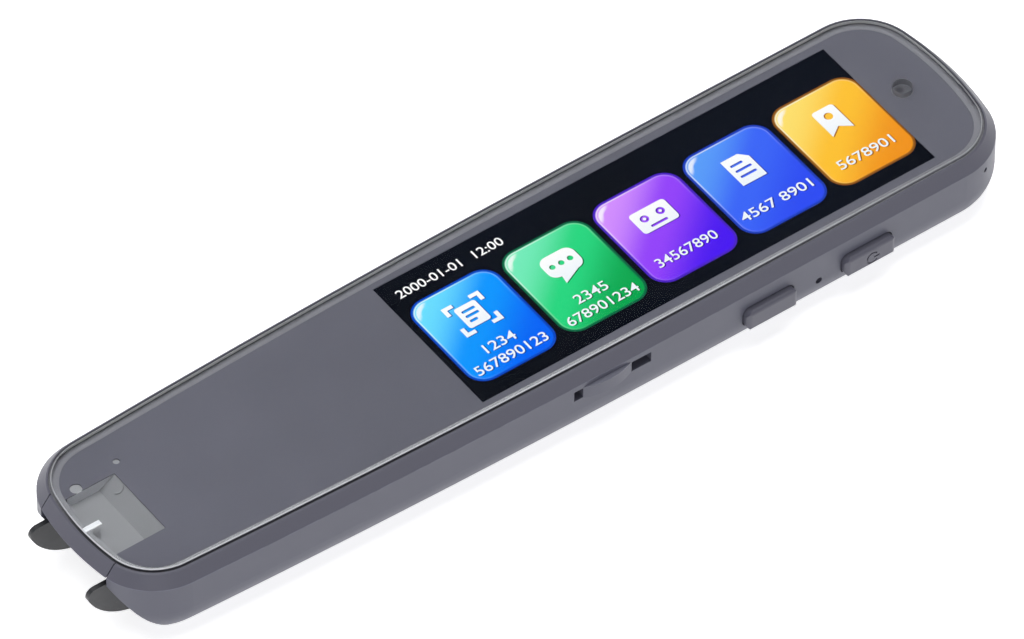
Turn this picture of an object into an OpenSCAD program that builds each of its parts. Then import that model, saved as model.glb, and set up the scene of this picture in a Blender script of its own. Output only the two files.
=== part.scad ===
// Handheld translator: a pen-shaped scanner with a full-length cover glass, a
// screen, a sprung scanning tip and two side keys.
// +X runs from the nose to the tail, the keys are on the -Y side, and the flat
// back rests on z = 0. The origin is the middle of the back.

/* [Body] */
// Length of the housing along the crease, nose to tail
body_l = 139; // [138:0.5:141]
// Width of the housing at its straight sides
body_w = 32; // [32:0.1:33]
// Thickness from the back to the top of the cover glass
body_t = 12; // [12:0.05:12.3]
// Height of the crease where the two shells meet
crease_z = 9.85; // [9.8:0.05:9.9]
// Wall thickness of the lower housing
wall = 1.2; // [1.1:0.05:1.3]
// Thickness of the floor of the lower housing
floor_t = 1.3; // [1.2:0.05:1.3]
// Radius that rounds the sides into the back
heel_r = 5.3; // [5:0.1:5.4]
// Radius of the chin under the nose, seen from the side
chin_r = 14; // [13.8:0.1:14.4]
// Radius of the heel under the tail, seen from the side
tail_heel_r = 8; // [7.5:0.1:8.2]

/* [Outline] */
// Half-angle of the arc across the nose
nose_a = 10; // [9.5:0.1:10.5]
// Radius of the nose corners
nose_corner_r = 9; // [8.8:0.1:9.5]
// Half-angle of the arc across the tail
tail_a = 10.5; // [10:0.1:11]
// Radius of the tail corners
tail_corner_r = 9.5; // [9:0.1:10]
// Radius of the long arc that narrows each side towards the nose
side_r = 1630; // [1600:10:1660]
// Angle of that arc
side_a = 2.8; // [2.7:0.1:2.9]

/* [Cover glass and screen] */
// Thickness of the cover glass
glass_t = 1.1; // [1:0.05:1.1]
// Distance from the crease in to the edge of the glass
glass_inset = 1.75; // [1.7:0.05:1.8]
// How far the glass stands above the lip of the frame
glass_proud = 0.35; // [0.3:0.05:0.4]
// Width of the clear rim round the printed film
clear_rim = 1.15; // [1.1:0.05:1.2]
// Length of the lit area of the screen
screen_l = 71.8; // [70:0.1:72]
// Width of the lit area of the screen
screen_w = 23.8; // [23:0.1:24]
// Middle of the screen along the body
screen_x = 21.4; // [21:0.1:21.6]
// Width of the clear viewing window over the scanning chamber
view_w = 11.2; // [10:0.1:11.4]
// Edge of the viewing window nearest the screen
view_x = -58.7; // [-59.2:0.1:-58.4]

/* [Keys] */
// Length of a key cap
key_l = 8; // [7:0.1:8.2]
// Height of a key cap
key_h = 3.1; // [2.8:0.1:3.2]
// How far a key stands out of the side
key_proud = 1.1; // [0.8:0.1:1.2]
// Height of the middle of the keys
key_z = 5.8; // [5.7:0.05:5.9]
// Middle of the home key along the body
home_x = 27.5; // [27:0.1:28]
// Middle of the power key along the body
power_x = 43.2; // [43:0.1:43.6]
// How far a key travels when it is pressed
key_travel = 0.35; // [0.25:0.05:0.35]

/* [Scanning tip] */
// Distance from the middle to the inner face of a prong
prong_y = 5.95; // [5.9:0.05:6]
// Thickness of a prong
prong_t = 0.7; // [0.6:0.05:0.75]
// Height of the top edge of a prong
prong_top = 8.1; // [7.9:0.05:8.2]
// Radius of the round lower edge of a prong
prong_r = 9.2; // [9.15:0.05:9.25]
// How far the tip travels when it is pressed on a page
tip_travel = 0.7; // [0.5:0.1:0.7]
// Turns in each tip spring
spring_turns = 5; // [3:1:6]

/* [Hidden] */
$fn = 48;

shell_colour = [0.41, 0.41, 0.455];
smoke_colour = [0.25, 0.25, 0.26];
hood_colour = [0.6, 0.61, 0.62];
metal_colour = [0.74, 0.75, 0.77];
board_colour = [0.1, 0.3, 0.2];
flex_colour = [0.75, 0.5, 0.15];
black = [0.1, 0.1, 0.11];
ivory = [0.9, 0.89, 0.84];

// Heights of the layers under the glass, from the top down
glass_z = body_t - glass_t;
film_t = 0.1;
film_z = glass_z - film_t;
ledge_z = glass_z - 0.15;
lip_z = body_t - glass_proud;
touch_z = film_z - 0.3;
panel_z = touch_z - 1;
guide_z = panel_z - 0.6;
tray_z = guide_z - 0.2;
deck_z = tray_z - 0.7;

// Distances in from the crease
pocket_inset = glass_inset - 0.24;
ledge_inset = glass_inset + 1.2;
tongue_inset = wall + 0.1;
film_inset = glass_inset + clear_rim;

// Where the round chin and the round heel start
chin_x = -56;
heel_x = 61.5;
// Half-width of the separate piece between the prongs, and of its gap
insert_y = 7;
insert_gap = 0.15;

// Boards, posts and screws
boss_top = 5.4;
head_hole_r = 1.65;
boss_at = [[-48.3, 9.8], [13, 11.2], [61.3, 10.6]];
board_z = 3.9;
board_t = 0.8;
board_top = board_z + board_t;
board_posts = [[22, 9.5], [22, -7.5], [56.8, 8.5], [56.8, -8.5]];
battery_x = [-42.8, -0.8];
battery_z = floor_t + 0.2;
battery_top = 7.4;
spring_wall_x = -43.9;
bar_x = -48.9;
bar_t = 1.7;
scan_board_x = -50;
hood_back = -53.5;
lens_z = 6.2;
usb_z = board_top + 1.6;
speaker_x = 44;
mic_x = 35.6;
mic_z = 5.3;
mic_pad_y = -14.6;
mic_hole_r = 0.5;
front_mic_x = 61.1;
strap_x = 2.9;
strap_z = 8.2;
slot_l = 12;
slot_h = 1.7;

// Outline of the crease: a nose arc, two nose corners, two long side arcs, two
// straight sides, two tail corners and a tail arc, each tangent to the next
function unit(a) = [cos(a), sin(a)];
nose_corner_y = body_w / 2 - side_r + (side_r - nose_corner_r) * cos(side_a);
nose_r = nose_corner_r + nose_corner_y / sin(nose_a);
nose_c = [-body_l / 2 + nose_r, 0];
nose_corner_c = nose_c + (nose_r - nose_corner_r) * unit(180 - nose_a);
side_x = nose_corner_c[0] + (side_r - nose_corner_r) * sin(side_a);
side_c = [side_x, body_w / 2 - side_r];
tail_corner_y = body_w / 2 - tail_corner_r;
tail_r = tail_corner_r + tail_corner_y / sin(tail_a);
tail_c = [body_l / 2 - tail_r, 0];
tail_corner_c = tail_c + (tail_r - tail_corner_r) * unit(tail_a);

// Half-width of the crease at a place along the side arc or the straight side
function half_width(x) = x > side_x
    ? body_w / 2
    : side_c[1] + sqrt(side_r * side_r - pow(x - side_x, 2));

function arc_points(c, r, a0, a1, n) = [for (i = [0:n]) c + r * unit(a0 + (a1 - a0) * i / n)];

function half_outline(inset, n) = concat(
    arc_points(nose_c, nose_r - inset, 180, 180 - nose_a, n),
    arc_points(nose_corner_c, nose_corner_r - inset, 178 - nose_a, 90 + side_a, 2 * n),
    arc_points(side_c, side_r - inset, 89.7 + side_a, 90, n),
    arc_points(tail_corner_c, tail_corner_r - inset, 90, tail_a + 2, 2 * n),
    arc_points(tail_c, tail_r - inset, tail_a, 0, n)
);

function mirrored(points) = [for (i = [len(points) - 2:-1:1]) [points[i][0], -points[i][1]]];

// The whole outline, moved in by inset, as a flat plate
module slab(inset, z0, z1, n = 3) {
    half = half_outline(inset, n);
    translate([0, 0, z0]) linear_extrude(z1 - z0) polygon(concat(half, mirrored(half)));
}

// A plate with few corners that fills the middle of a swept solid
module core(z0, z1) {
    half = [
        nose_corner_c + 3 * unit(135), [0, body_w / 2 - 7.5], tail_corner_c + 3.5 * unit(50)
    ];
    low = [for (i = [2:-1:0]) [half[i][0], -half[i][1]]];
    translate([0, 0, z0]) linear_extrude(z1 - z0) polygon(concat(half, low));
}

// Moves in two steps, a round one and a tiny one, so that neighbouring runs
// of the outline meet without a gap
module place(p) {
    near = [round(100 * p[0]) / 100, round(100 * p[1]) / 100];
    translate(near) translate(p - near) children();
}

module arc_run(c, r, start, angle) {
    place(c) rotate_extrude(angle = angle, start = start) place([r, 0]) children();
}

module straight_run(x0, x1) {
    length = floor(x1 - x0);
    place([x0, body_w / 2]) rotate([90, 0, 90]) linear_extrude(length) children();
    place([x1, body_w / 2]) mirror([1, 0, 0]) rotate([90, 0, 90])
        linear_extrude(length) children();
}

// Sweeps a profile round the whole outline. In the profile, x is the distance
// out from the crease and y is the height.
module swept() {
    arc_run(nose_c, nose_r, 180 - nose_a, 2 * nose_a, $fn = 360) children();
    arc_run(tail_c, tail_r, -tail_a, 2 * tail_a, $fn = 360) children();
    for (side = [0, 1]) mirror([0, side, 0]) {
        arc_run(nose_corner_c, nose_corner_r, 90 + side_a, 90 - side_a - nose_a, $fn = 72)
            children();
        arc_run(side_c, side_r, 90, side_a, $fn = 1440) children();
        straight_run(side_x, tail_corner_c[0]) children();
        arc_run(tail_corner_c, tail_corner_r, tail_a, 90 - tail_a, $fn = 72) children();
    }
}

module box(x, y, z) {
    translate([x[0], y[0], z[0]]) cube([x[1] - x[0], y[1] - y[0], z[1] - z[0]]);
}

// A rectangle with round corners, centred on the origin
module round_rect(l, w, r) {
    square([l - 2 * r, w], center = true);
    square([l, w - 2 * r], center = true);
    for (x = [-1, 1], y = [-1, 1])
        translate([x * (l / 2 - r), y * (w / 2 - r)]) circle(r);
}

// A round-cornered bar along Y, from y0 to y1, centred at x, z
module bar_y(x, z, l, h, r, y0, y1) {
    translate([x, y1, z]) rotate([90, 0, 0]) linear_extrude(y1 - y0) round_rect(l, h, r);
}

module rod_y(x, z, r, y0, y1) {
    translate([x, y1, z]) rotate([90, 0, 0]) cylinder(r = r, h = y1 - y0);
}

module rod_x(y, z, r, x0, x1) {
    translate([x0, y, z]) rotate([0, 90, 0]) cylinder(r = r, h = x1 - x0);
}

module rod_z(x, y, r, z0, z1) {
    translate([x, y, z0]) cylinder(r = r, h = z1 - z0);
}

// A shape drawn in the plane of the length and the height, given a width in Y
module side_shape(y0, y1) {
    translate([0, y1, 0]) rotate([90, 0, 0]) linear_extrude(y1 - y0) children();
}

// A thin strip along a path of points, t thick
module strip(points, t) {
    for (i = [0:len(points) - 2]) {
        run = points[i + 1] - points[i];
        translate(points[i]) rotate(atan2(run[1], run[0]))
            translate([0, -t / 2]) square([norm(run), t]);
    }
    for (i = [1:len(points) - 2]) translate(points[i]) circle(t / 2, $fn = 16);
}

tube_sides = 8;

function heading(points, i) =
    let (d = points[min(i + 1, len(points) - 1)] - points[max(i - 1, 0)]) d / norm(d);

// A round wire along a path of points, where no stretch runs along up
module tube(points, r, up) {
    last = len(points) - 1;
    rings = [for (i = [0:last])
        let (d = heading(points, i), u = cross(up, d) / norm(cross(up, d)), v = cross(d, u))
        each [for (k = [0:tube_sides - 1]) let (a = 360 * k / tube_sides)
            points[i] + r * (cos(a) * u + sin(a) * v)]];
    sides = [for (i = [0:last - 1], k = [0:tube_sides - 1])
        let (a = i * tube_sides, n = a + (k + 1) % tube_sides)
        [n, a + k, a + k + tube_sides, n + tube_sides]];
    polyhedron(rings, concat(
        [[for (k = [0:tube_sides - 1]) k]], sides,
        [[for (k = [tube_sides - 1:-1:0]) last * tube_sides + k]]
    ), convexity = 8);
}

// ---------------------------------------------------------------- housings

module quarter(r) {
    intersection() {
        circle(r, $fn = 64);
        translate([0, -r]) square(r);
    }
}

// Half of the section of a closed body, from depth in from the crease out to
// the inset wall, with its lower corner rounded
module section(inset, base, r, top, depth) {
    translate([-depth, base]) square([depth - inset - r, top - base]);
    translate([-depth, base + r]) square([depth - inset, top - base - r]);
    translate([-inset - r, base + r]) quarter(r);
}

module wall_section() {
    difference() {
        section(0, 0, heel_r, crease_z, 8);
        section(wall, floor_t, heel_r - wall, body_t, 9);
    }
}

// What is left inside the round chin and the round heel, seen from the side
module side_limits(inset) {
    difference() {
        translate([-body_l / 2 - 1, inset]) square([body_l + 2, body_t]);
        difference() {
            translate([-body_l, -1]) square([body_l + chin_x, chin_r + 1]);
            translate([chin_x, chin_r]) circle(chin_r - inset, $fn = 96);
        }
        difference() {
            translate([heel_x, -1]) square([body_l, tail_heel_r + 1]);
            translate([heel_x, tail_heel_r]) circle(tail_heel_r - inset, $fn = 96);
        }
    }
}

module end_blocks() {
    difference() {
        union() {
            swept() section(0, 0, heel_r, crease_z, 8);
            core(0, crease_z);
        }
        side_shape(-20, 20) side_limits(wall);
        box([chin_x - 0.7, heel_x - 1.5], [-20, 20], [-1, 12]);
        box([-80, 80], [-20, 20], [deck_z - 0.05, 12]);
        box([-59.6, chin_x], [-5.6, 5.6], [floor_t, 12]);
    }
}

module housing_shell() {
    intersection() {
        union() {
            swept() wall_section();
            core(0, floor_t);
            end_blocks();
        }
        side_shape(-20, 20) side_limits(0);
    }
}

module strap_slot() {
    box([strap_x - slot_l / 2, strap_x + slot_l / 2], [-body_w / 2 - 1, -13.5],
        [strap_z - slot_h / 2, strap_z + slot_h / 2]);
}

module strap_pocket() {
    difference() {
        box([strap_x - 7, strap_x + 7], [-body_w / 2 + 1, -12.7], [strap_z - 1.65, crease_z]);
        strap_slot();
    }
}

// The arched bar that a wrist strap loops round
module strap_bar() {
    arch_r = 9;
    arch_y = arch_r - body_w / 2 - 0.7;
    strap_t = 1.1;
    translate([strap_x - 0.8, 0, 0]) intersection() {
        difference() {
            rod_z(0, arch_y, arch_r, strap_z - 1, strap_z + 1);
            rod_z(0, arch_y, arch_r - strap_t, strap_z - 2, strap_z + 2);
        }
        box([-3.8, 3.8], [-body_w / 2 - 1, -13], [strap_z - 1, strap_z + 1]);
    }
}

module grille_holes() {
    for (i = [-4:4], j = [-1:1])
        rod_z(speaker_x + i * 1.9, j * 1.9, 0.55, -1, floor_t + 1);
}

module bosses() {
    for (p = boss_at, s = [-1, 1]) rod_z(p[0], s * p[1], 2.2, 0.4, boss_top);
    for (p = board_posts) rod_z(p[0], p[1], 1.6, 0.5, board_z);
}

module boss_bores() {
    for (p = boss_at, s = [-1, 1]) {
        rod_z(p[0], s * p[1], head_hole_r, -1, 2.1);
        rod_z(p[0], s * p[1], 0.85, 2, boss_top + 1);
    }
    for (p = board_posts) rod_z(p[0], p[1], 0.6, 1.9, board_z + 1);
}

module housing_ribs() {
    box([battery_x[0] - 0.6, battery_x[0]], [-11.5, 11.5], [floor_t - 0.3, 4]);
    for (y = [-11.5, 4]) box([1.6, 2.2], [y, y + 7.5], [floor_t - 0.3, 3.4]);
    box([spring_wall_x, spring_wall_x + 0.6], [-6, 6], [floor_t - 0.3, 6.8]);
    for (s = [-1, 1]) mirror([0, s < 0 ? 1 : 0, 0])
        box([-59, -52], [prong_y, prong_y + prong_t], [floor_t - 0.3, 3.1]);
    box([21.5, 49], [-12.6, -10.9], [floor_t - 0.3, 3.3]);
    box([mic_x - 2.1, mic_x + 2.1], [-15, mic_pad_y], [3.6, 7]);
    difference() {
        box([speaker_x - 11.9, speaker_x + 11.9], [-8.4, 8.4], [floor_t - 0.3, 2.6]);
        box([speaker_x - 11.1, speaker_x + 11.1], [-7.6, 7.6], [floor_t - 1, 3]);
    }
}

// Small catches that the tongue of the frame snaps over
module catches() {
    for (x = [-38, -14, 16, 54]) side_catch(x);
}

module side_catch(x) {
    for (s = [0, 1]) mirror([0, s, 0]) {
        y = half_width(x) - wall;
        box([x - 2, x + 2], [y - 0.35, y + 0.2], [8.7, 9.1]);
    }
}

module lower_housing() {
    color(shell_colour) difference() {
        union() {
            housing_shell();
            difference() {
                union() {
                    bosses();
                    housing_ribs();
                    strap_pocket();
                    catches();
                }
                boss_bores();
            }
        }
        for (p = boss_at, s = [-1, 1]) rod_z(p[0], s * p[1], head_hole_r, -1, 2.1);
        strap_slot();
        grille_holes();
        for (x = [home_x, power_x])
            bar_y(x, key_z, key_l + 0.3, key_h + 0.3, 1.15, -body_w / 2 - 1, -body_w / 2 + 2);
        rod_y(mic_x, mic_z, mic_hole_r, -body_w / 2 - 1, -body_w / 2 + 2);
        translate([60, 0, usb_z]) rotate([0, 90, 0]) linear_extrude(12) round_rect(3.5, 9.2, 1.6);
        box([-75, -59.5], [-insert_y - insert_gap, insert_y + insert_gap], [1.45, 12]);
        for (s = [0, 1]) mirror([0, s, 0])
            box([-75, -61.2], [prong_y - 0.15, insert_y + insert_gap], [-1, 2]);
        translate([tail_corner_c[0], -tail_corner_c[1], 8.2]) rotate([0, 90, -68])
            cylinder(r = 0.35, h = 12, $fn = 24);
    }
    color(shell_colour) strap_bar();
}

module frame_section() {
    polygon([
        [0, crease_z], [-1.1, lip_z - 0.3], [-1.22, lip_z - 0.1], [-1.4, lip_z],
        [-pocket_inset, lip_z], [-pocket_inset, ledge_z], [-ledge_inset, ledge_z],
        [-ledge_inset, deck_z], [-tongue_inset, deck_z], [-tongue_inset, crease_z]
    ]);
}

module upper_frame() {
    notch = insert_y + insert_gap;
    color(shell_colour) difference() {
        union() {
            swept() frame_section();
            intersection() {
                slab(ledge_inset - 0.5, deck_z, tray_z);
                box([-19.5, 64.2], [-20, 20], [deck_z, tray_z]);
            }
            intersection() {
                slab(ledge_inset - 0.5, 8.6, 9.6);
                box([-49.2, -45.6], [-20, 20], [8.6, 9.6]);
            }
            rod_z(boss_at[0][0], boss_at[0][1], 2, boss_top, 9);
            rod_z(boss_at[0][0], -boss_at[0][1], 2, boss_top, 9);
            for (i = [1, 2], s = [-1, 1])
                rod_z(boss_at[i][0], s * boss_at[i][1], 2, boss_top, deck_z + 0.3);
        }
        for (p = boss_at, s = [-1, 1]) rod_z(p[0], s * p[1], 0.65, boss_top - 1, 8.2);
        box([-75, -62], [-notch, notch], [deck_z - 1, 13]);
        box([strap_x - 7.2, strap_x + 7.2], [-body_w / 2 + 1.25, -12.6], [deck_z - 1, crease_z]);
        for (x = [-38, -14, 16, 54], s = [0, 1]) mirror([0, s, 0])
            box([x - 2.3, x + 2.3], [half_width(x) - tongue_inset - 0.45, half_width(x) - 1.1],
                [8.55, 9.25]);
        for (x = [26, 48]) translate([x, 0, deck_z - 1]) linear_extrude(3) round_rect(14, 18, 2);
        translate([5, 0, deck_z - 1]) linear_extrude(3) round_rect(16, 16, 2);
    }
}

module nose_insert() {
    color(shell_colour) intersection() {
        swept() polygon([
            [0, crease_z], [-1.1, lip_z - 0.3], [-1.22, lip_z - 0.1], [-1.4, lip_z],
            [-pocket_inset, lip_z], [-pocket_inset, ledge_z], [-ledge_inset, ledge_z],
            [-ledge_inset, crease_z]
        ]);
        box([-75, -60], [-insert_y, insert_y], [9, 13]);
    }
}

module housing_screws() {
    color(metal_colour) for (p = boss_at, s = [-1, 1]) translate([p[0], s * p[1], 0])
        difference() {
            union() {
                translate([0, 0, 0.9]) cylinder(r = 1.5, h = 1.2);
                translate([0, 0, 1]) cylinder(r = 0.65, h = 6.6);
            }
            for (a = [0, 90]) rotate(a) translate([-0.8, -0.15, 0]) cube([1.6, 0.3, 1.5]);
        }
}

// ------------------------------------------------------- glass and display

module cover_glass() {
    edge_r = 0.45;
    color([0.75, 0.78, 0.8, 0.3]) difference() {
        union() {
            swept() {
                translate([-8, glass_z]) square([8 - glass_inset, glass_t - edge_r]);
                translate([-8, glass_z]) square([8 - glass_inset - edge_r, glass_t]);
                translate([-glass_inset - edge_r, body_t - edge_r]) circle(edge_r, $fn = 32);
            }
            core(glass_z, body_t);
        }
        rod_z(front_mic_x, 0, 1.3, glass_z - 1, body_t + 1);
    }
}

module glass_gasket() {
    color([0.62, 0.62, 0.65]) difference() {
        swept() translate([-film_inset + 0.02, ledge_z])
            square([clear_rim - 0.1, glass_z - ledge_z]);
        box([-70, -64], [-0.5, 0.5], [ledge_z - 1, glass_z + 1]);
    }
}

module bezel_film() {
    color(shell_colour) difference() {
        slab(film_inset, film_z, glass_z, 8);
        box([-75, view_x], [-view_w / 2, view_w / 2], [film_z - 1, glass_z + 1]);
        box([screen_x - screen_l / 2, screen_x + screen_l / 2], [-screen_w / 2, screen_w / 2],
            [film_z - 1, glass_z + 1]);
        rod_z(front_mic_x, 0, 1.45, film_z - 1, glass_z + 1);
        rod_z(-64.05, 6.3, 0.8, film_z - 1, glass_z + 1);
        rod_z(-57.4, 7.1, 0.45, film_z - 1, glass_z + 1);
    }
}

module aiming_mark() {
    color("white") box([-67.6, -64.7], [-0.4, 0.4], [ledge_z, glass_z]);
}

module touch_sensor() {
    color([0.2, 0.22, 0.25]) {
        box([-18.9, 58.9], [-12.5, 12.5], [touch_z, film_z]);
    }
}

module display_panel() {
    color([0.03, 0.04, 0.08]) {
        box([-18.6, 58.4], [-12.3, 12.3], [panel_z, panel_z + 0.5]);
        box([-16.4, 58.4], [-12.3, 12.3], [panel_z + 0.5, touch_z]);
    }
}

module light_guide() {
    color([0.9, 0.92, 0.95]) difference() {
        box([-18.2, 58.4], [-12.3, 12.3], [guide_z, panel_z]);
        for (y = [-9:3:9]) box([-19, -17.4], [y - 0.8, y + 0.8], [guide_z - 1, panel_z + 1]);
    }
}

module backlight_tray() {
    top = panel_z + 0.8;
    color(metal_colour) difference() {
        box([-18.9, 58.7], [-12.55, 12.55], [tray_z, top]);
        box([-18.7, 58.5], [-12.35, 12.35], [guide_z, top + 1]);
        box([-20, -18], [-2, 11.2], [panel_z + 0.4, top + 1]);
        for (x = [-6, 30]) box([x, x + 8], [-14, 14], [top - 0.5, top + 1]);
    }
}

module display_flex() {
    color(flex_colour) side_shape(-1.4, 8.8)
        strip([
            [-16.6, panel_z + 0.575], [-19.9, panel_z + 0.575], [-20.6, panel_z + 0.2],
            [-20.9, panel_z - 0.6], [-20.7, 8.1], [-20.1, 7.78], [12, 7.78], [14.6, 6.1],
            [15.9, 5.975], [20.4, 5.975]
        ], 0.15);
}

// --------------------------------------------------------------- main board

module main_board() {
    color(board_colour) difference() {
        translate([0, 0, board_z]) linear_extrude(board_t) polygon([
            [15.6, -12.2], [20.8, -12.2], [20.8, -10.2], [50.2, -10.2], [50.2, -12.2],
            [58.2, -12.2], [58.2, -7.6], [66.2, -7.6], [66.2, 7.6], [58.2, 7.6],
            [58.2, 12.4], [15.6, 12.4]
        ]);
        for (p = board_posts) rod_z(p[0], p[1], 0.8, board_z - 1, board_top + 1);
        for (y = [-12.2, 12.4]) rod_z(38, y, 0.9, board_z - 1, board_top + 1);
    }
}

module shield_can(x, y, h) {
    top = board_top + h;
    box(x, y, [board_top, top - 0.3]);
    box([x[0] + 0.25, x[1] - 0.25], [y[0] + 0.25, y[1] - 0.25], [top - 0.3, top]);
    for (i = [x[0] + 1.5:2.5:x[1] - 1.5])
        box([i - 0.6, i + 0.6], [y[0] - 0.15, y[1] + 0.15], [board_top, top - 0.9]);
}

module processor_shield() {
    color(metal_colour) shield_can([25, 38.5], [-6.5, 7.5], 2);
}

module wireless_shield() {
    color(metal_colour) shield_can([42, 52], [1, 10.5], 1.7);
}

module board_chips() {
    color(black) {
        box([42, 49], [-8.4, -2.4], [board_top, board_top + 1]);
        box([52.5, 55.5], [-6.4, -3.4], [board_top, board_top + 0.8]);
        box([26, 30.5], [9, 11.4], [board_top, board_top + 0.7]);
        box([33, 35], [9.2, 11.2], [board_top, board_top + 0.9]);
        for (i = [0:6]) box([40, 40.8], [-9.2 + i * 1.3, -8.7 + i * 1.3], [board_top, board_top + 0.4]);
        for (i = [0:4]) box([54 + i * 0.8, 54.5 + i * 0.8], [3, 4], [board_top, board_top + 0.4]);
        box([24.5, 29.5], [-4, 3], [board_z - 1, board_z]);
        for (i = [0:3]) box([18 + i * 0.9, 18.5 + i * 0.9], [-3, -2], [board_z - 0.5, board_z]);
    }
}

module board_connectors() {
    color(ivory) {
        box([16.2, 20.4], [-1.55, 8.95], [board_top, board_top + 1.2]);
        box([16.2, 20.4], [-5.5, -1.75], [board_top, board_top + 1.2]);
        difference() {
            box([16.2, 20.4], [-9.9, -5.7], [board_top, board_top + 2]);
            box([15, 17.4], [-9.4, -6.2], [board_top + 0.5, board_top + 1.5]);
        }
    }
}

module board_screws() {
    color(metal_colour) for (p = board_posts) translate([p[0], p[1], 0]) difference() {
        union() {
            translate([0, 0, board_top]) cylinder(r = 1.2, h = 0.7);
            translate([0, 0, 2]) cylinder(r = 0.6, h = board_top - 1.8);
        }
        for (a = [0, 90]) rotate(a) translate([-0.7, -0.12, board_top + 0.35]) cube([1.4, 0.24, 1]);
    }
}

// ------------------------------------------------------------------ battery

module battery() {
    mid_z = (battery_z + battery_top) / 2;
    r = 2;
    color([0.8, 0.81, 0.83]) {
        translate([battery_x[0] + 0.4, 0, 0]) rotate([90, 0, 90])
            linear_extrude(battery_x[1] - battery_x[0] - 1.4)
            translate([0, mid_z]) round_rect(23, battery_top - battery_z, r);
        box([battery_x[1] - 1.1, battery_x[1]], [-10, 10], [mid_z - 0.3, mid_z + 0.3]);
    }
}

module battery_tape() {
    color(black) for (x = [-38, -14]) box([x, x + 9], [-8, 8], [floor_t, battery_z]);
}

module battery_protection() {
    mid_z = (battery_z + battery_top) / 2;
    color([0.75, 0.6, 0.2]) {
        box([battery_x[1], battery_x[1] + 0.6], [-8.5, 8.5], [mid_z - 1.4, mid_z + 1.4]);
        box([battery_x[1] + 0.6, battery_x[1] + 1.4], [-3, 2], [mid_z - 1, mid_z + 1]);
    }
}

// Three wires that run from the battery to the board in one gentle bend each
module battery_leads() {
    start_x = battery_x[1] + 0.6;
    color("firebrick") for (i = [0:2])
        tube(lead_path([start_x, -4.6 - 0.95 * i, 4.45], [17.4, -6.75 - 1.05 * i, 5.7], 10),
            0.4, [0, 0, 1]);
}

function lead_path(p, q, n) = [
    for (i = [0:n]) let (t = i / n, s = t * t * (3 - 2 * t))
        [p[0] + t * (q[0] - p[0]), p[1] + s * (q[1] - p[1]), p[2] + s * (q[2] - p[2])]
];

// ---------------------------------------------------------------- scan head

// Outside of the hood, seen from the side
hood_side = [
    [-68.75, crease_z], [-64.2, 3.2], [-62.2, 1.75], [-59.3, 1.55], [-59.3, floor_t],
    [hood_back, floor_t], [hood_back, 9.4], [-57.6, 9.4], [-57.6, ledge_z],
    [-65.9, ledge_z], [-65.9, crease_z]
];
// The chamber that the lamps light, seen from the side
hood_chamber = [
    [-66.7, 8.6], [-63.7, 4.1], [-61.9, 2.5], [-58.4, 2.5], [-58.4, 10.2], [-60.6, 8.6]
];
// The shallow tray on top of the chamber, with its sloping end
tray_floor_z = 9.2;
tray_bend_x = -61.1;
hood_tray = [
    [-66.1, tray_floor_z], [tray_bend_x, tray_floor_z], [view_x, ledge_z], [view_x, 12], [-66.1, 12]
];
tray_y = view_w / 2 + 0.05;
// Pale spots behind the two round windows of the film
spot_at = [[-64.05, 6.3, 0.8], [-57.4, 7.1, 0.45]];
// The slanted face of the nose that looks at the page
chin_low = [-64.75, 4];
chin_high = [-67.9, 8.55];

module hood_top() {
    side_shape(-tray_y - 0.55, tray_y + 0.55)
        polygon([[-65.85, 8.6], [-57.6, 8.6], [-57.6, ledge_z], [-65.85, ledge_z]]);
    for (p = spot_at) rod_z(p[0], p[1], p[2] + 0.35, 9.5, ledge_z);
    box([-58.2, -57.6], [tray_y, spot_at[1][1]], [9.5, ledge_z]);
}

module scan_hood() {
    color(hood_colour) difference() {
        union() {
            side_shape(-5.5, 5.5) polygon(hood_side);
            hood_top();
        }
        side_shape(-4.7, 4.7) polygon(hood_chamber);
        side_shape(-tray_y, tray_y) polygon(hood_tray);
        window_seat(0.05);
        rod_x(0, lens_z, 2.95, -59, -50);
        box([hood_back - 1.2, -50], [-4.1, 4.1], [lens_z - 4.1, lens_z + 4.3]);
    }
    color(hood_colour) translate([-59.4, 3.75, 10.23])
        rotate([0, -atan2(ledge_z - tray_floor_z, view_x - tray_bend_x), 0])
        translate([0, 0, -0.2]) cylinder(r = 0.78, h = 0.35);
    color(hood_colour) for (y = [-4.7, 4.7]) {
        rod_x(y, 9, 0.5, hood_back, scan_board_x);
        rod_x(y, 2.2, 0.5, hood_back, scan_board_x);
    }
}

module window_seat(gap) {
    run = chin_high - chin_low;
    translate([chin_low[0], 0, chin_low[1]]) rotate([0, atan2(run[0], run[1]), 0])
        translate([-1.2, -5 - gap, -0.6 - gap]) cube([2.05, 10 + 2 * gap, norm(run) + 1.2 + 2 * gap]);
}

module scan_window() {
    color([0.8, 0.85, 0.88, 0.35]) intersection() {
        window_seat(0);
        side_shape(-5.5, 5.5) polygon([
            [-68.6, crease_z - 0.2], [-64.3, 3.35], [-63.1, 4.1], [-67.4, 10.2]
        ]);
    }
}

module led_board() {
    color([0.92, 0.92, 0.9]) difference() {
        box([-58.9, -58.4], [-4.6, 4.6], [2.6, 9.6]);
        rod_x(0, lens_z, 2.95, -60, -57);
    }
}

module scan_leds() {
    color([0.95, 0.9, 0.55]) for (y = [-3.7, 3.7], z = [lens_z - 2.4, lens_z + 2.4])
        box([-59.6, -58.9], [y - 0.7, y + 0.7], [z - 0.55, z + 0.55]);
}

module camera_module() {
    color(black) difference() {
        union() {
            box([-54.6, scan_board_x], [-4, 4], [lens_z - 4, lens_z + 4.2]);
            rod_x(0, lens_z, 2.85, -59, -54.6);
        }
        rod_x(0, lens_z, 1.9, -60, -57.4);
    }
}

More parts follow.
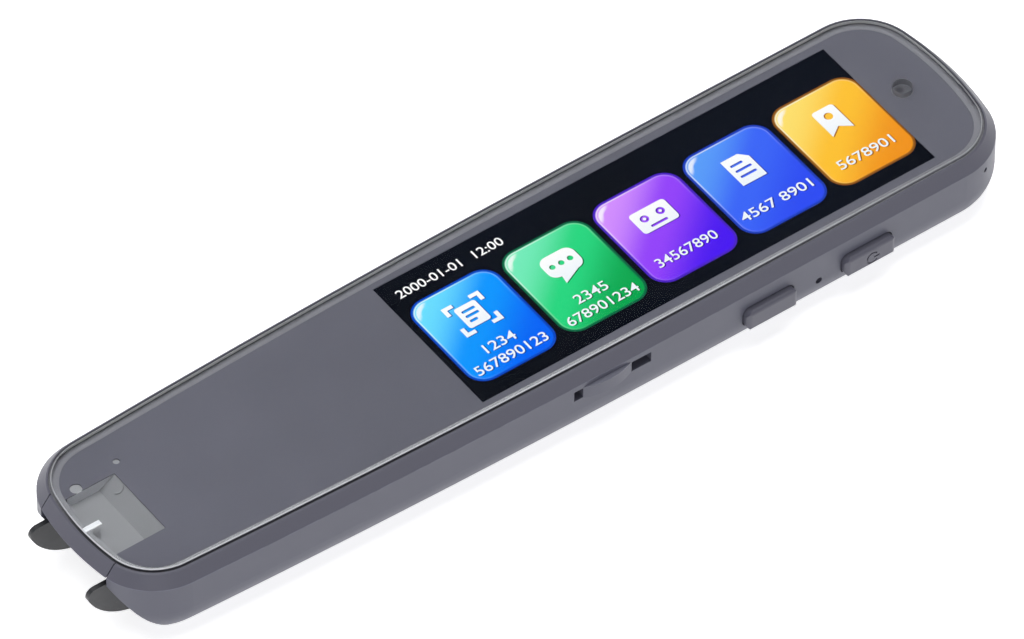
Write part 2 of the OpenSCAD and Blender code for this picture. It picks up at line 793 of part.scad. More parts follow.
module camera_lens() {
    color([0.35, 0.45, 0.6, 0.6]) {
        rod_x(0, lens_z, 1.9, -58.4, -57.4);
        translate([-58.4, 0, lens_z]) intersection() {
            translate([2.6, 0, 0]) sphere(3.2);
            rod_x(0, 0, 1.9, -0.6, 0);
        }
    }
}

module scan_board() {
    color(board_colour) {
        box([scan_board_x, scan_board_x + 0.6], [-5.4, 5.4], [1.7, 8.4]);
        box([scan_board_x + 0.6, scan_board_x + 1], [-5, -2.1], [6.8, 8.2]);
    }
}

module camera_flex() {
    color(flex_colour) side_shape(-5.3, -1.9)
        strip([
            [-48.97, 7.5], [-48.6, 7.62], [-47.9, 7.78], [12, 7.78], [14.6, 6.1],
            [15.9, 5.975], [20.4, 5.975]
        ], 0.15);
}

// ------------------------------------------------------------- scanning tip

// A prong seen from the side: a long round lower edge, a round corner at the
// tip, and the arm that runs back to the crossbar
module prong_side() {
    tip_round = 1.2;
    dip = 0.3;
    middle = [-62.65, 10];
    back_x = -62.4;
    arm_z = 3.2;
    tip_z = prong_top - tip_round;
    cut_z = tip_z - dip;
    tip_x = middle[0] - sqrt(pow(prong_r, 2) - pow(middle[1] - cut_z, 2))
        + sqrt(pow(tip_round, 2) - pow(dip, 2));
    intersection() {
        translate(middle) circle(prong_r, $fn = 96);
        translate([-75, 0]) square([75 + back_x, cut_z]);
    }
    translate([tip_x, tip_z - tip_round]) square([6, 2 * tip_round]);
    translate([tip_x, tip_z]) circle(tip_round);
    translate([-65, arm_z]) square([65 + bar_x + bar_t, prong_top - arm_z]);
}

module tip_trigger() {
    color(smoke_colour) {
        for (s = [0, 1]) mirror([0, s, 0]) {
            side_shape(prong_y, prong_y + prong_t) prong_side();
            side_shape(prong_y + prong_t, prong_y + prong_t + 1)
                polygon([[-66.45, 6.8], [-65.3, 6.8], [-65.3, 7.7], [-66.45, 7.7]]);
        }
        box([bar_x, bar_x + bar_t], [-prong_y - 0.1, prong_y + 0.1], [3.2, 6.4]);
        for (y = [-4.2, 4.2]) rod_x(y, 4.8, 0.6, bar_x + 1, bar_x + bar_t + 1.2);
    }
}

spring_r = 0.95;
spring_wire = 0.15;
spring_steps = 12;
spring_len = spring_wall_x - bar_x - bar_t - 2 * spring_wire - 0.04;

function coil_path(turns, length) = [
    for (i = [0:turns * spring_steps]) let (a = 360 * i / spring_steps)
        [length * i / (turns * spring_steps), spring_r * cos(a), spring_r * sin(a)]
];

module tip_springs() {
    color(metal_colour) for (y = [-4.2, 4.2])
        translate([bar_x + bar_t + spring_wire + 0.02, y, 4.8])
            tube(coil_path(spring_turns, spring_len), spring_wire, [1, 0, 0]);
}

module tip_switch() {
    color(black) {
        box([-45.6, spring_wall_x], [-2.2, 2.2], [3, 6.6]);
        rod_x(0, 4.8, 0.7, bar_x + bar_t + tip_travel + 0.05, -45.6);
    }
}

// --------------------------------------------------------------------- keys

// A key cap, its inner flange and the nub that meets its switch
module key(x) {
    face_y = -body_w / 2 - key_proud;
    flange_y = -body_w / 2 + wall + 0.1;
    edge = 0.5;
    color(shell_colour) {
        intersection() {
            bar_y(x, key_z, key_l, key_h, 1, face_y, flange_y + 0.2);
            translate([x, 0, key_z]) rotate([90, 0, 90]) translate([0, 0, -key_l])
                linear_extrude(2 * key_l) translate([face_y + 5, 0]) round_rect(10, key_h, edge);
            translate([x, 0, key_z - key_h]) linear_extrude(2 * key_h)
                translate([0, face_y + 5]) round_rect(key_l, 10, edge + 0.2);
        }
        bar_y(x, key_z + 0.45, key_l + 1.8, 3.2, 1.2, flange_y, flange_y + 0.7);
        rod_y(x, key_z, 1, flange_y + 0.6, flange_y + 1.05);
    }
}

module key_switch(x) {
    color(metal_colour) {
        box([x - 2.2, x + 2.2], [-12.9, -11.8], [key_z - 1.6, key_z + 1.6]);
    }
    color(ivory) rod_y(x, key_z, 0.8, -13.2, -12.9);
}

module power_key() {
    key(power_x);
}

module home_key() {
    key(home_x);
}

module power_switch() {
    key_switch(power_x);
}

module home_switch() {
    key_switch(home_x);
}

module key_board() {
    color(board_colour) difference() {
        box([22, 48.6], [-11.8, -11.2], [3.3, 7.85]);
        for (x = [32.6, 38.6]) rod_y(x, 6.9, 0.45, -12, -11);
    }
}

module key_bracket() {
    color(metal_colour) {
        box([22, 48.6], [-11.2, -10.9], [3.3, 7.6]);
        for (x = [23, 45.6]) box([x, x + 2], [-11.2, -10.4], [7.3, 7.6]);
    }
}

module side_microphone() {
    color(metal_colour) difference() {
        box([mic_x - 1.6, mic_x + 1.6], [-12.8, -11.8], [mic_z - 1.2, mic_z + 1.2]);
        rod_y(mic_x, mic_z, 0.3, -13, -12.2);
    }
}

module microphone_boot() {
    color(black) difference() {
        bar_y(mic_x, mic_z, 3.8, 2.2, 0.5, mic_pad_y, -12.8);
        rod_y(mic_x, mic_z, 0.5, -body_w / 2, -12);
    }
}

// ------------------------------------------------------- microphone, speaker

module front_microphone() {
    color(metal_colour) difference() {
        box([front_mic_x - 1.9, front_mic_x + 1.9], [-1.5, 1.5], [tray_z, tray_z + 1]);
        rod_z(front_mic_x, 0, 0.4, tray_z + 0.5, tray_z + 2);
    }
}

module front_microphone_boot() {
    color(black) difference() {
        rod_z(front_mic_x, 0, 1.85, tray_z + 1, film_z - 0.1);
        rod_z(front_mic_x, 0, 0.7, tray_z, film_z + 1);
    }
}

module front_mesh() {
    color([0.16, 0.16, 0.17]) rod_z(front_mic_x, 0, 1.8, film_z - 0.1, film_z);
}

module speaker_box() {
    color(black) {
        box([speaker_x - 11, speaker_x + 11], [-7.5, 7.5], [floor_t + 0.3, board_z - 0.4]);
        translate([speaker_x, 0, floor_t + 0.3]) linear_extrude(2.2) round_rect(20.6, 14, 2);
        box([speaker_x + 4, speaker_x + 10], [-6, 6], [board_z - 0.4, board_z - 0.2]);
    }
}

module speaker_gasket() {
    color([0.2, 0.2, 0.2]) translate([speaker_x, 0, floor_t]) linear_extrude(0.3) difference() {
        round_rect(21.6, 14.8, 2);
        round_rect(18.2, 6.4, 1.5);
    }
}

module speaker_mesh() {
    color([0.16, 0.16, 0.17]) translate([speaker_x, 0, floor_t]) linear_extrude(0.1)
        round_rect(18, 6.2, 1.4);
}

// -------------------------------------------------------------- charge port

module usb_shell() {
    color(metal_colour) translate([61.9, 0, usb_z]) rotate([0, 90, 0]) difference() {
        linear_extrude(7.2) round_rect(3.2, 8.94, 1.58);
        translate([0, 0, 0.8]) linear_extrude(8) round_rect(2.56, 8.3, 1.26);
    }
}

module usb_tongue() {
    color(black) {
        box([62.7, 68.4], [-3.35, 3.35], [usb_z - 0.35, usb_z + 0.35]);
        box([62.7, 64], [-3.35, 3.35], [usb_z - 0.9, usb_z + 0.9]);
    }
}

module antenna_strip() {
    color(flex_colour) {
        box([22, 46], [body_w / 2 - wall - 0.2, body_w / 2 - wall], [5.5, 7.7]);
        box([30, 31.4], [11.6, body_w / 2 - wall - 0.2], [5.5, 5.7]);
        box([30, 31.4], [11.6, 11.8], [board_top, 5.6]);
    }
}

lower_housing();
upper_frame();
nose_insert();
housing_screws();
cover_glass();
glass_gasket();
bezel_film();
aiming_mark();
touch_sensor();
display_panel();
light_guide();
backlight_tray();
display_flex();
main_board();
processor_shield();
wireless_shield();
board_chips();
board_connectors();
board_screws();
battery();
battery_tape();
battery_protection();
battery_leads();
scan_hood();
scan_window();
led_board();
scan_leds();
camera_module();
camera_lens();
scan_board();
camera_flex();
tip_trigger();
tip_springs();
tip_switch();
power_key();
power_switch();
home_key();
home_switch();
key_board();
key_bracket();
side_microphone();
microphone_boot();
front_microphone();
front_microphone_boot();
front_mesh();
speaker_box();
speaker_gasket();
speaker_mesh();
usb_shell();
usb_tongue();
antenna_strip();
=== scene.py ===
import logging
import math
from collections.abc import Callable
from dataclasses import dataclass, field
from enum import Enum
from functools import cache
from typing import TypeAlias

import bmesh
import bpy
import numpy as np
from mathutils import Matrix, Vector
from mathutils.geometry import tessellate_polygon


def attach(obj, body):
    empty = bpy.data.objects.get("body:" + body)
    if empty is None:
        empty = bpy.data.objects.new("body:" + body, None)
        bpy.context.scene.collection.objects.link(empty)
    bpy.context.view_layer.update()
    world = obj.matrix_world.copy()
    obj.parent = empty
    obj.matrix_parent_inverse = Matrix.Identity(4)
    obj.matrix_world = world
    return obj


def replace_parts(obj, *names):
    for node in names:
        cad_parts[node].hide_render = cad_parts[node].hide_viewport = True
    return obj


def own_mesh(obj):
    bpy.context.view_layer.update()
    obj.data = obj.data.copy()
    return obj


MM = 0.001
WELD = 0.0005 * MM
LOG = logging.getLogger("translator")

Pair: TypeAlias = tuple[float, float]
Triple: TypeAlias = tuple[float, float, float]
Colour: TypeAlias = tuple[float, float, float, float]
Loop: TypeAlias = list[Pair]
Socket: TypeAlias = bpy.types.NodeSocket
Material: TypeAlias = bpy.types.Material
Mesh: TypeAlias = bpy.types.Mesh
Piece: TypeAlias = bpy.types.Object
Shape: TypeAlias = bmesh.types.BMesh
Values: TypeAlias = dict[str | int, object]
Term: TypeAlias = "Channel | float"

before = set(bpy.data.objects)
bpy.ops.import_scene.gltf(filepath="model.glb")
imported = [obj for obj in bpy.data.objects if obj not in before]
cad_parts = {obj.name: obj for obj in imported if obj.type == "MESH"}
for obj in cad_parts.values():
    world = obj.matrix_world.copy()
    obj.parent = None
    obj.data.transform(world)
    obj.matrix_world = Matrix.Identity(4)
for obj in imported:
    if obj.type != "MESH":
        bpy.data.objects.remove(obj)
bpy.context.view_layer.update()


# ---------------------------------------------------------------- colours


NO_LIGHT: Colour = (0.0, 0.0, 0.0, 1.0)
FULL_LIGHT: Colour = (1.0, 1.0, 1.0, 1.0)


def linear(*rgb: float) -> Colour:
    """Turns screen values from 0 to 255 into the linear colour that a shader takes.

    Args:
        rgb: red, green and blue, as a screen shows them.

    Returns:
        Linear red, green and blue, with an alpha of 1.
    """
    parts = [
        c / 12.92 if c <= 0.04045 else ((c + 0.055) / 1.055) ** 2.4
        for c in (value / 255 for value in rgb)
    ]
    return (*parts, 1.0)


def shaded(colour: Colour, factor: float) -> Colour:
    """The colour made darker or lighter by a factor, with no part above 1."""
    return (*(min(1.0, c * factor) for c in colour[:3]), 1.0)


# ---------------------------------------------------------------- node trees


def maths(operation: str, swap: bool = False) -> Callable[..., "Channel"]:
    """Makes a method of Channel that adds one Math node.

    Args:
        operation: the Math node's operation.
        swap: whether the method's own number comes last.

    Returns:
        The method. It takes the node's other inputs and returns its result.
    """

    def method(self: "Channel", *others: Term) -> "Channel":
        """Adds the Math node and returns its result."""
        values = dict(enumerate((*others, self) if swap else (self, *others)))
        return Channel(self.tree, self.tree.out("ShaderNodeMath", values, operation=operation))

    return method


class Channel:
    """One number that flows through a node tree, with arithmetic that adds Math nodes."""

    __add__ = __radd__ = maths("ADD")
    __sub__ = maths("SUBTRACT")
    __rsub__ = maths("SUBTRACT", swap=True)
    __mul__ = __rmul__ = maths("MULTIPLY")
    __truediv__ = maths("DIVIDE")
    __abs__ = maths("ABSOLUTE")
    larger = maths("MAXIMUM")
    smaller = maths("MINIMUM")
    power = maths("POWER")
    sine = maths("SINE")
    floor = maths("FLOOR")

    def __init__(self, tree: "Tree", socket: Socket) -> None:
        """Keeps the tree and the socket that gives the number."""
        self.tree = tree
        self.socket = socket

    def length(self, other: "Channel") -> "Channel":
        """The length of the line whose two sides are these numbers."""
        return (self * self + other * other).power(0.5)

    def swing(self, width: float) -> "Channel":
        """Turns a pattern about 0.5 into one about 0 that is width wide."""
        return (self - 0.5) * width

    def between(self, low: float, high: float) -> "Channel":
        """A smooth step.

        Args:
            low: where the step starts, at 0.
            high: where it ends, at 1. It may be below low, and the step then falls.

        Returns:
            A number from 0 to 1.
        """
        made = self.tree.node(
            "ShaderNodeMapRange",
            {"Value": self, "From Min": low, "From Max": high},
            interpolation_type="SMOOTHSTEP",
            clamp=True,
        )
        return Channel(self.tree, made.outputs["Result"])


class Tree:
    """A node tree in the making, with one method for every kind of node."""

    def __init__(self, tree: bpy.types.NodeTree) -> None:
        """Starts from an empty tree."""
        self.tree = tree
        tree.nodes.clear()

    def node(self, kind: str, values: Values | None = None, **settings: object) -> bpy.types.Node:
        """Adds a node.

        Args:
            kind: the node's type.
            values: numbers, colours, Channels or sockets for its inputs, by name or place.
            settings: its own settings, set first. "stops" fills a colour ramp.

        Returns:
            The node.
        """
        made = self.tree.nodes.new(kind)
        for name, value in settings.items():
            if name == "stops":
                self._fill_ramp(made.color_ramp, value)
            else:
                setattr(made, name, value)
        for key, value in (values or {}).items():
            source = value.socket if isinstance(value, Channel) else value
            if isinstance(source, Socket):
                self.tree.links.new(source, made.inputs[key])
            else:
                made.inputs[key].default_value = source
        return made

    def out(self, kind: str, values: Values | None = None, **settings: object) -> Socket:
        """Adds a node, as node does, and returns its first output."""
        return self.node(kind, values, **settings).outputs[0]

    def blend(self, share: Channel | Socket | float, low: Socket, high: Socket) -> Socket:
        """Mixes two shaders, where share is how much of high there is."""
        return self.out("ShaderNodeMixShader", {0: share, 1: low, 2: high})

    @staticmethod
    def _fill_ramp(ramp: bpy.types.ColorRamp, stops: list[tuple[float, Colour]]) -> None:
        """Sets a ramp's stops.

        Args:
            ramp: the colour ramp.
            stops: place and colour of each stop, in order.
        """
        while len(ramp.elements) < len(stops):
            ramp.elements.new(1.0)
        for element, (place, colour) in zip(ramp.elements, stops):
            element.position = place
            element.color = colour


class Graph(Tree):
    """A material in the making."""

    layer_share = 0.55

    def __init__(self, name: str) -> None:
        """Makes an empty material.

        Args:
            name: its name.
        """
        self.material = bpy.data.materials.new(name)
        self.material.use_nodes = True
        super().__init__(self.material.node_tree)
        self._place = self.node("ShaderNodeTexCoord").outputs["Object"]

    def axes(self) -> tuple[Channel, Channel, Channel]:
        """Reads a point's place on the object.

        Returns:
            Its x, y and z, in millimetres.
        """
        split = self.node("ShaderNodeSeparateXYZ", {0: self._place})
        x, y, z = (Channel(self, out) / MM for out in split.outputs)
        return x, y, z

    def noise(self, size: float, detail: float = 2.0, stretch: Triple = (1, 1, 1)) -> Channel:
        """A soft random pattern.

        Args:
            size: the size of its patches, in millimetres.
            detail: how many finer layers lie on it.
            stretch: how much closer the patches lie along each axis.

        Returns:
            A number that varies about 0.5.
        """
        mapped = self.out("ShaderNodeMapping", {"Vector": self._place, "Scale": stretch})
        values = {
            "Vector": mapped,
            "Scale": 1 / (size * MM),
            "Detail": detail,
            "Roughness": self.layer_share,
        }
        return Channel(self, self.out("ShaderNodeTexNoise", values, noise_dimensions="3D"))

    def cells(self, size: float) -> Channel:
        """The distance from the middle of random cells.

        Args:
            size: the size of a cell, in millimetres.

        Returns:
            0 in the middle of a cell, and towards 1 between cells.
        """
        values = {"Vector": self._place, "Scale": 1 / (size * MM)}
        made = self.node("ShaderNodeTexVoronoi", values, feature="F1")
        return Channel(self, made.outputs["Distance"])

    def mix(self, share: Term, low: Colour | Socket, high: Colour | Socket) -> Socket:
        """Mixes two colours, where share is how much of high there is."""
        made = self.node("ShaderNodeMix", {0: share, 6: low, 7: high}, data_type="RGBA")
        return made.outputs[2]

    def tint(self, share: Channel, colour: Colour, factor: float) -> Socket:
        """Mixes a colour, where share is 1, with its own darker tone, where share is 0."""
        return self.mix(share, shaded(colour, factor), colour)

    def by_step(self, step: Channel, colours: tuple[Colour, ...]) -> Socket:
        """Picks one of several colours by a number.

        Args:
            step: the colour's number over their count, in the middle of its stop.
            colours: the colours, in order.

        Returns:
            The colour's socket.
        """
        stops = [(i / len(colours), colour) for i, colour in enumerate(colours)]
        made = self.node("ShaderNodeValToRGB", {0: step}, stops=stops)
        made.color_ramp.interpolation = "CONSTANT"
        return made.outputs[0]

    def bump(self, height: Channel, depth: float, strength: float) -> Socket:
        """Turns a height into a normal.

        Args:
            height: the height, from 0 to 1.
            depth: how deep that is, in millimetres.
            strength: how much of the bump shows.

        Returns:
            The normal's socket.
        """
        values = {"Strength": strength, "Distance": depth * MM, "Height": height}
        return self.out("ShaderNodeBump", values)

    def surface(
        self, colour: Colour | Socket, rough: Term, normal: Socket | None = None, **rest: object
    ) -> Socket:
        """Adds the Principled shader.

        Args:
            colour: its base colour.
            rough: its roughness.
            normal: its normal, where the surface isn't smooth.
            rest: its other inputs, with _ for each space in their names.

        Returns:
            The shader's socket.
        """
        values = {"Base Color": colour, "Roughness": rough}
        if normal is not None:
            values["Normal"] = normal
        for name, value in rest.items():
            values[name.replace("_", " ")] = value
        return self.out("ShaderNodeBsdfPrincipled", values)

    def glow(self, colour: Socket, strength: float) -> Socket:
        """Adds the shader of something that only shines, and returns its output."""
        light = {"Emission_Color": colour, "Emission_Strength": strength}
        return self.surface(NO_LIGHT, 0.5, Specular_IOR_Level=0.0, **light)

    def finish(self, shader: Socket) -> Material:
        """Links the shader to the material's output and returns the material."""
        self.node("ShaderNodeOutputMaterial", {"Surface": shader})
        return self.material


# ---------------------------------------------------------------- finishes


@dataclass(frozen=True)
class Finish:
    """A surface finish, with one material for all that wears it."""

    name: str

    def shader(self, g: Graph) -> Socket:
        """Adds the finish's own nodes.

        Args:
            g: the material.

        Returns:
            The shader.
        """
        raise NotImplementedError

    @cache
    def build(self) -> Material:
        """Builds the material at the first call, and returns it at each call."""
        g = Graph(self.name)
        return g.finish(self.shader(g))


@dataclass(frozen=True)
class MouldedPlastic(Finish):
    """Satin injection-moulded plastic with a fine spark-eroded grain.

    parting is the height of a parting line, the reach of the painted highlight along its crease
    and that highlight's strength.
    The y of the pale wall is where a wall's face is painted lighter than the rest: painted light
    on a wall that lies in shade.
    """

    colour: Colour
    roughness: float = 0.42
    grain: float = 0.16
    grain_depth: float = 0.006
    mottle: float = 0.06
    parting: Triple = (0.0, 0.07, 0.0)
    painted_light_y: float = 0.0
    flow: float = 14.0
    tones: Pair = (0.86, 1.14)
    painted_light_tone: float = 2.4
    painted_light_reach: Pair = (0.05, 0.02)
    crease_highlight_tone: float = 1.9
    crease_highlight_x: Pair = (20.0, -50.0)

    def shader(self, g: Graph) -> Socket:
        """Adds the mottled and grained plastic, with any painted light on a pale wall and painted
        highlight on the parting crease.

        Args:
            g: the material.

        Returns:
            The shader.
        """
        grain = g.noise(self.grain)
        tone = g.noise(self.flow, 3.0).swing(self.mottle) + grain.swing(0.1)
        tones = (shaded(self.colour, factor) for factor in self.tones)
        colour = g.mix((tone + 0.5).between(0.0, 1.0), *tones)
        # painted light: the face of a wall in shade is painted lighter
        if self.painted_light_y:
            lit_wall = abs(g.axes()[1] - self.painted_light_y).between(*self.painted_light_reach)
            colour = g.mix(lit_wall, colour, shaded(self.colour, self.painted_light_tone))
        # painted highlight: a lighter line along the crease at the parting line
        if self.parting[2]:
            colour = g.mix(self._crease_highlight(g), colour, shaded(self.colour, self.crease_highlight_tone))
        rough = self.roughness + g.noise(3.0).swing(0.12) + grain.swing(0.08)
        return g.surface(colour, rough, g.bump(grain, self.grain_depth, 0.6), IOR=1.5)

    def _crease_highlight(self, g: Graph) -> Channel:
        """Works out the painted highlight on the crease at the parting line, which is stronger
        towards the nose.

        Args:
            g: the material.

        Returns:
            The share of the worn tone.
        """
        x, _, z = g.axes()
        level, reach, strength = self.parting
        highlit = abs(z - level).between(reach, reach * 0.4) * g.noise(2.5).between(0.3, 0.6)
        return highlit * (x.between(*self.crease_highlight_x) * 0.7 + 0.3) * strength


@dataclass(frozen=True)
class SmokedPlastic(Finish):
    """Dark see-through plastic, such as the sprung scanning tip."""

    colour: Colour
    clarity: float = 0.18
    roughness: float = 0.24

    def shader(self, g: Graph) -> Socket:
        """Adds the streaky plastic.

        Args:
            g: the material.

        Returns:
            The shader.
        """
        flow = g.noise(2.5, 3.0, (0.4, 1.0, 1.0)).between(0.25, 0.75)
        rough = self.roughness + g.noise(0.5).swing(0.12)
        normal = g.bump(g.noise(0.3), 0.004, 0.5)
        colour = g.tint(flow, self.colour, 0.8)
        return g.surface(colour, rough, normal, IOR=1.49, Transmission_Weight=self.clarity)


@dataclass(frozen=True)
class ClearPane(Finish):
    """Clear polished glass or plastic that lets lamps through to what lies below."""

    tint: Colour = (0.985, 0.992, 0.99, 1.0)
    roughness: float = 0.0
    index: float = 1.2

    def shader(self, g: Graph) -> Socket:
        """Adds the glass, which casts no shadow.

        Args:
            g: the material.

        Returns:
            The shader.
        """
        normal = g.bump(g.noise(9.0, 1.0), 0.0006, 0.5)
        look = (self.tint, self.roughness, normal)
        glass = g.surface(*look, IOR=self.index, Transmission_Weight=1.0)
        open_to_light = g.out("ShaderNodeBsdfTransparent", {"Color": self.tint})
        rays = g.node("ShaderNodeLightPath").outputs
        return g.blend(rays["Is Shadow Ray"], glass, open_to_light)


@dataclass(frozen=True)
class PaneEdge(Finish):
    """A glass pane's edge, or a part beside it, with painted light and shade: from outside its
    colour turns from the near side and nose to the tail and far side; through the glass it has
    another.
    """

    near: Colour
    tail: Colour
    within: Colour
    roughness: float = 0.35
    turn_x: Pair = (2.0, 62.0)
    turn_y: Pair = (-2.0, 9.0)

    def shader(self, g: Graph) -> Socket:
        """Adds the two looks.

        Args:
            g: the material.

        Returns:
            The shader.
        """
        x, y, _ = g.axes()
        speckle = g.noise(0.5, 3.0).between(0.3, 0.7)
        # painted light and shade: the outside colour turns from the near side and nose to the
        # tail and far side
        turn = x.between(*self.turn_x).larger(y.between(*self.turn_y))
        colour = g.mix(turn, self.near, self.tail)
        dull = g.mix(speckle * 0.25 + 0.75, shaded(self.near, 0.6), colour)
        outside = g.surface(dull, self.roughness - speckle.swing(0.1))
        inside = g.out("ShaderNodeBsdfDiffuse", {"Color": self.within})
        back = g.node("ShaderNodeNewGeometry").outputs["Backfacing"]
        return g.blend(back, outside, inside)


@dataclass(frozen=True)
class PortCloth(Finish):
    """The dark cloth under the round port, with a soft darker spot on it: painted shade of the
    sound hole's depth.
    """

    colour: Colour
    spot: Colour
    middle: Pair = (61.1, 0.5)
    threads: float = 30.0
    hole_shade_span: Pair = (0.75, 0.2)
    roughness: float = 0.75

    def shader(self, g: Graph) -> Socket:
        """Adds the weave and the spot of painted shade.

        Args:
            g: the material.

        Returns:
            The shader.
        """
        x, y, _ = g.axes()
        weave = ((x + y) * self.threads).sine() * ((x - y) * self.threads).sine() * 0.5 + 0.5
        away = (x - self.middle[0]).length(y - self.middle[1])
        cloth = g.tint(weave, self.colour, 0.8)
        # painted shade: a darker spot where the sound hole is deep
        colour = g.mix(away.between(*self.hole_shade_span), cloth, self.spot)
        rough = self.roughness + weave.swing(0.1)
        return g.surface(colour, rough, g.bump(weave, 0.02, 0.5), Specular_IOR_Level=0.1)


@dataclass(frozen=True)
class ThinFilm(Finish):
    """A clear laminate that is all but invisible, with a faint gloss."""

    colour: Colour
    share: float = 0.02
    roughness: float = 0.12

    def shader(self, g: Graph) -> Socket:
        """Adds the film.

        Args:
            g: the material.

        Returns:
            The shader.
        """
        gloss = g.surface(self.colour, self.roughness + g.noise(6.0).swing(0.06))
        clear = g.out("ShaderNodeBsdfTransparent", {"Color": FULL_LIGHT})
        return g.blend(self.share, clear, gloss)


@dataclass(frozen=True)
class PrintedInk(Finish):
    """A screen-printed ink layer: even, with the faint tooth of the print."""

    colour: Colour
    roughness: float = 0.5
    tones: Pair = (0.93, 1.07)

    def shader(self, g: Graph) -> Socket:
        """Adds the ink.

        Args:
            g: the material.

        Returns:
            The shader.
        """
        tooth = g.noise(0.12, 1.0)
        tone = (g.noise(22.0) + tooth.swing(0.5)).between(0.2, 0.8)
        colour = g.mix(tone, *(shaded(self.colour, factor) for factor in self.tones))
        rough = self.roughness + tooth.swing(0.1)
        return g.surface(colour, rough, g.bump(tooth, 0.002, 0.4), Specular_IOR_Level=0.0)


@dataclass(frozen=True)
class DarkScreen(Finish):
    """A lit colour panel showing its near-black ground, with a dark plastic rim."""

    ground: Colour
    top: float
    rim: Colour = (0.001, 0.001, 0.001, 1.0)
    skin: float = 0.01
    roughness: float = 0.3

    def shader(self, g: Graph) -> Socket:
        """Adds the panel, whose top face alone is lit.

        Args:
            g: the material.

        Returns:
            The shader.
        """
        _, y, z = g.axes()
        lit = z.between(self.top - 2 * self.skin, self.top - self.skin)
        sweep = (g.noise(30.0, 1.0) + y * 0.01).between(0.3, 0.7)
        colour = g.mix(lit, NO_LIGHT, g.tint(sweep, self.ground, 0.55))
        light = {"Emission_Color": colour, "Emission_Strength": 1.0}
        rough = self.roughness + g.noise(1.2).swing(0.1)
        return g.surface(self.rim, rough, Specular_IOR_Level=0.0, **light)


@dataclass(frozen=True)
class SignShade(Finish):
    """The darker tint of each tile that lies behind its sign and digits."""

    colours: tuple[Colour, ...]
    first_x: float
    pitch: float
    foot: Colour = (0.0, 0.0, 0.02, 1.0)
    fall_y: Pair = (4.0, -7.0)
    tint_share: float = 0.75

    def shader(self, g: Graph) -> Socket:
        """Adds each tile's tint.

        Args:
            g: the material.

        Returns:
            The shader.
        """
        x, y, _ = g.axes()
        number = ((x - (self.first_x - self.pitch / 2)) / self.pitch).floor()
        tint = g.by_step((number + 0.5) / len(self.colours), self.colours)
        deep = g.mix(y.between(*self.fall_y), tint, self.foot)
        return g.glow(g.mix(self.tint_share, deep, tint), 1.0)


@dataclass(frozen=True)
class GlowingTiles(Finish):
    """The look of the whole row of tiles, worked out from each point's place in its tile.

    looks holds the tiles' colours in four rows: lit corner, body, far corner and rim.
    A span is a pair of distances between which something fades in.
    """

    looks: tuple[tuple[Colour, ...], ...]
    first_x: float
    pitch: float
    middle_y: float
    half_w: float
    half_h: float
    corner: float
    fall: Pair = (0.036, 0.040)
    lit_span: Pair = (-0.05, 0.42)
    deep_span: Pair = (0.45, 1.02)
    rim_span: Pair = (-0.46, -0.22)
    line_inset: float = 0.45
    line_span: Pair = (0.16, 0.04)
    line_light: Pair = (0.16, 0.4)
    near_corners: Pair = (3.2, 0.6)
    far_span: Pair = (0.9, 0.25)
    glint_inset: float = 1.05
    glint_span: Pair = (0.48, 0.2)
    glint_turn: Pair = (1.3, 2.3)
    glint_light: float = 0.75
    strength: float = 1.06

    def shader(self, g: Graph) -> Socket:
        """Adds the tiles' colours, then a fine line, a corner glint and the rim.

        Args:
            g: the material.

        Returns:
            The shader.
        """
        x, y, _ = g.axes()
        along = (x - (self.first_x - self.pitch / 2)) / self.pitch
        number = along.floor()
        step = (number + 0.5) / len(self.looks[0])
        lit, body, deep, rim = (g.by_step(step, row) for row in self.looks)
        u = (along - number - 0.5) * self.pitch
        v = y - self.middle_y
        inside = self._inside(u, v)
        slope = (u * self.fall[0] - v * self.fall[1] + 0.5).between(0.0, 1.0)
        colour = g.mix(slope.between(*self.lit_span), lit, body)
        colour = g.mix(slope.between(*self.deep_span), colour, deep)
        corner_u = u + (self.half_w - self.corner)
        corner_v = v - (self.half_h - self.corner)
        from_corner = corner_u.length(corner_v)
        near = from_corner.between(*(self.corner * part for part in self.near_corners))
        far = slope.between(*self.far_span)
        light = far * self.line_light[0] + near * self.line_light[1]
        line = abs(inside + self.line_inset).between(*self.line_span) * light
        colour = g.mix(line, colour, FULL_LIGHT)
        glint = abs(from_corner - (self.corner - self.glint_inset)).between(*self.glint_span)
        outward = (corner_v - corner_u).between(*self.glint_turn)
        colour = g.mix(glint * outward * self.glint_light, colour, FULL_LIGHT)
        colour = g.mix(inside.between(*self.rim_span), colour, rim)
        return g.glow(colour, self.strength)

    def _inside(self, u: Channel, v: Channel) -> Channel:
        """Works out how far a point lies from its tile's edge.

        Args:
            u: its place across the tile, from the middle.
            v: its place up the tile, from the middle.

        Returns:
            The distance, less than 0 within the tile.
        """
        qx = (abs(u) - (self.half_w - self.corner)).larger(0.0)
        qy = (abs(v) - (self.half_h - self.corner)).larger(0.0)
        edge = qx.length(qy) - self.corner
        flank = (abs(u) - self.half_w).larger(abs(v) - self.half_h).smaller(0.0)
        in_corner = qx.smaller(qy).between(0.0, 0.02)
        return in_corner * edge + (1.0 - in_corner) * flank


@dataclass(frozen=True)
class GlowingPrint(Finish):
    """Lit marks on the screen, which turn from one colour to another down the screen."""

    top: Colour
    foot: Colour
    fall_y: Pair
    strength: float = 1.06

    def shader(self, g: Graph) -> Socket:
        """Adds the glow and returns its shader."""
        fall = g.axes()[1].between(*self.fall_y)
        return g.glow(g.mix(fall, self.top, self.foot), self.strength)


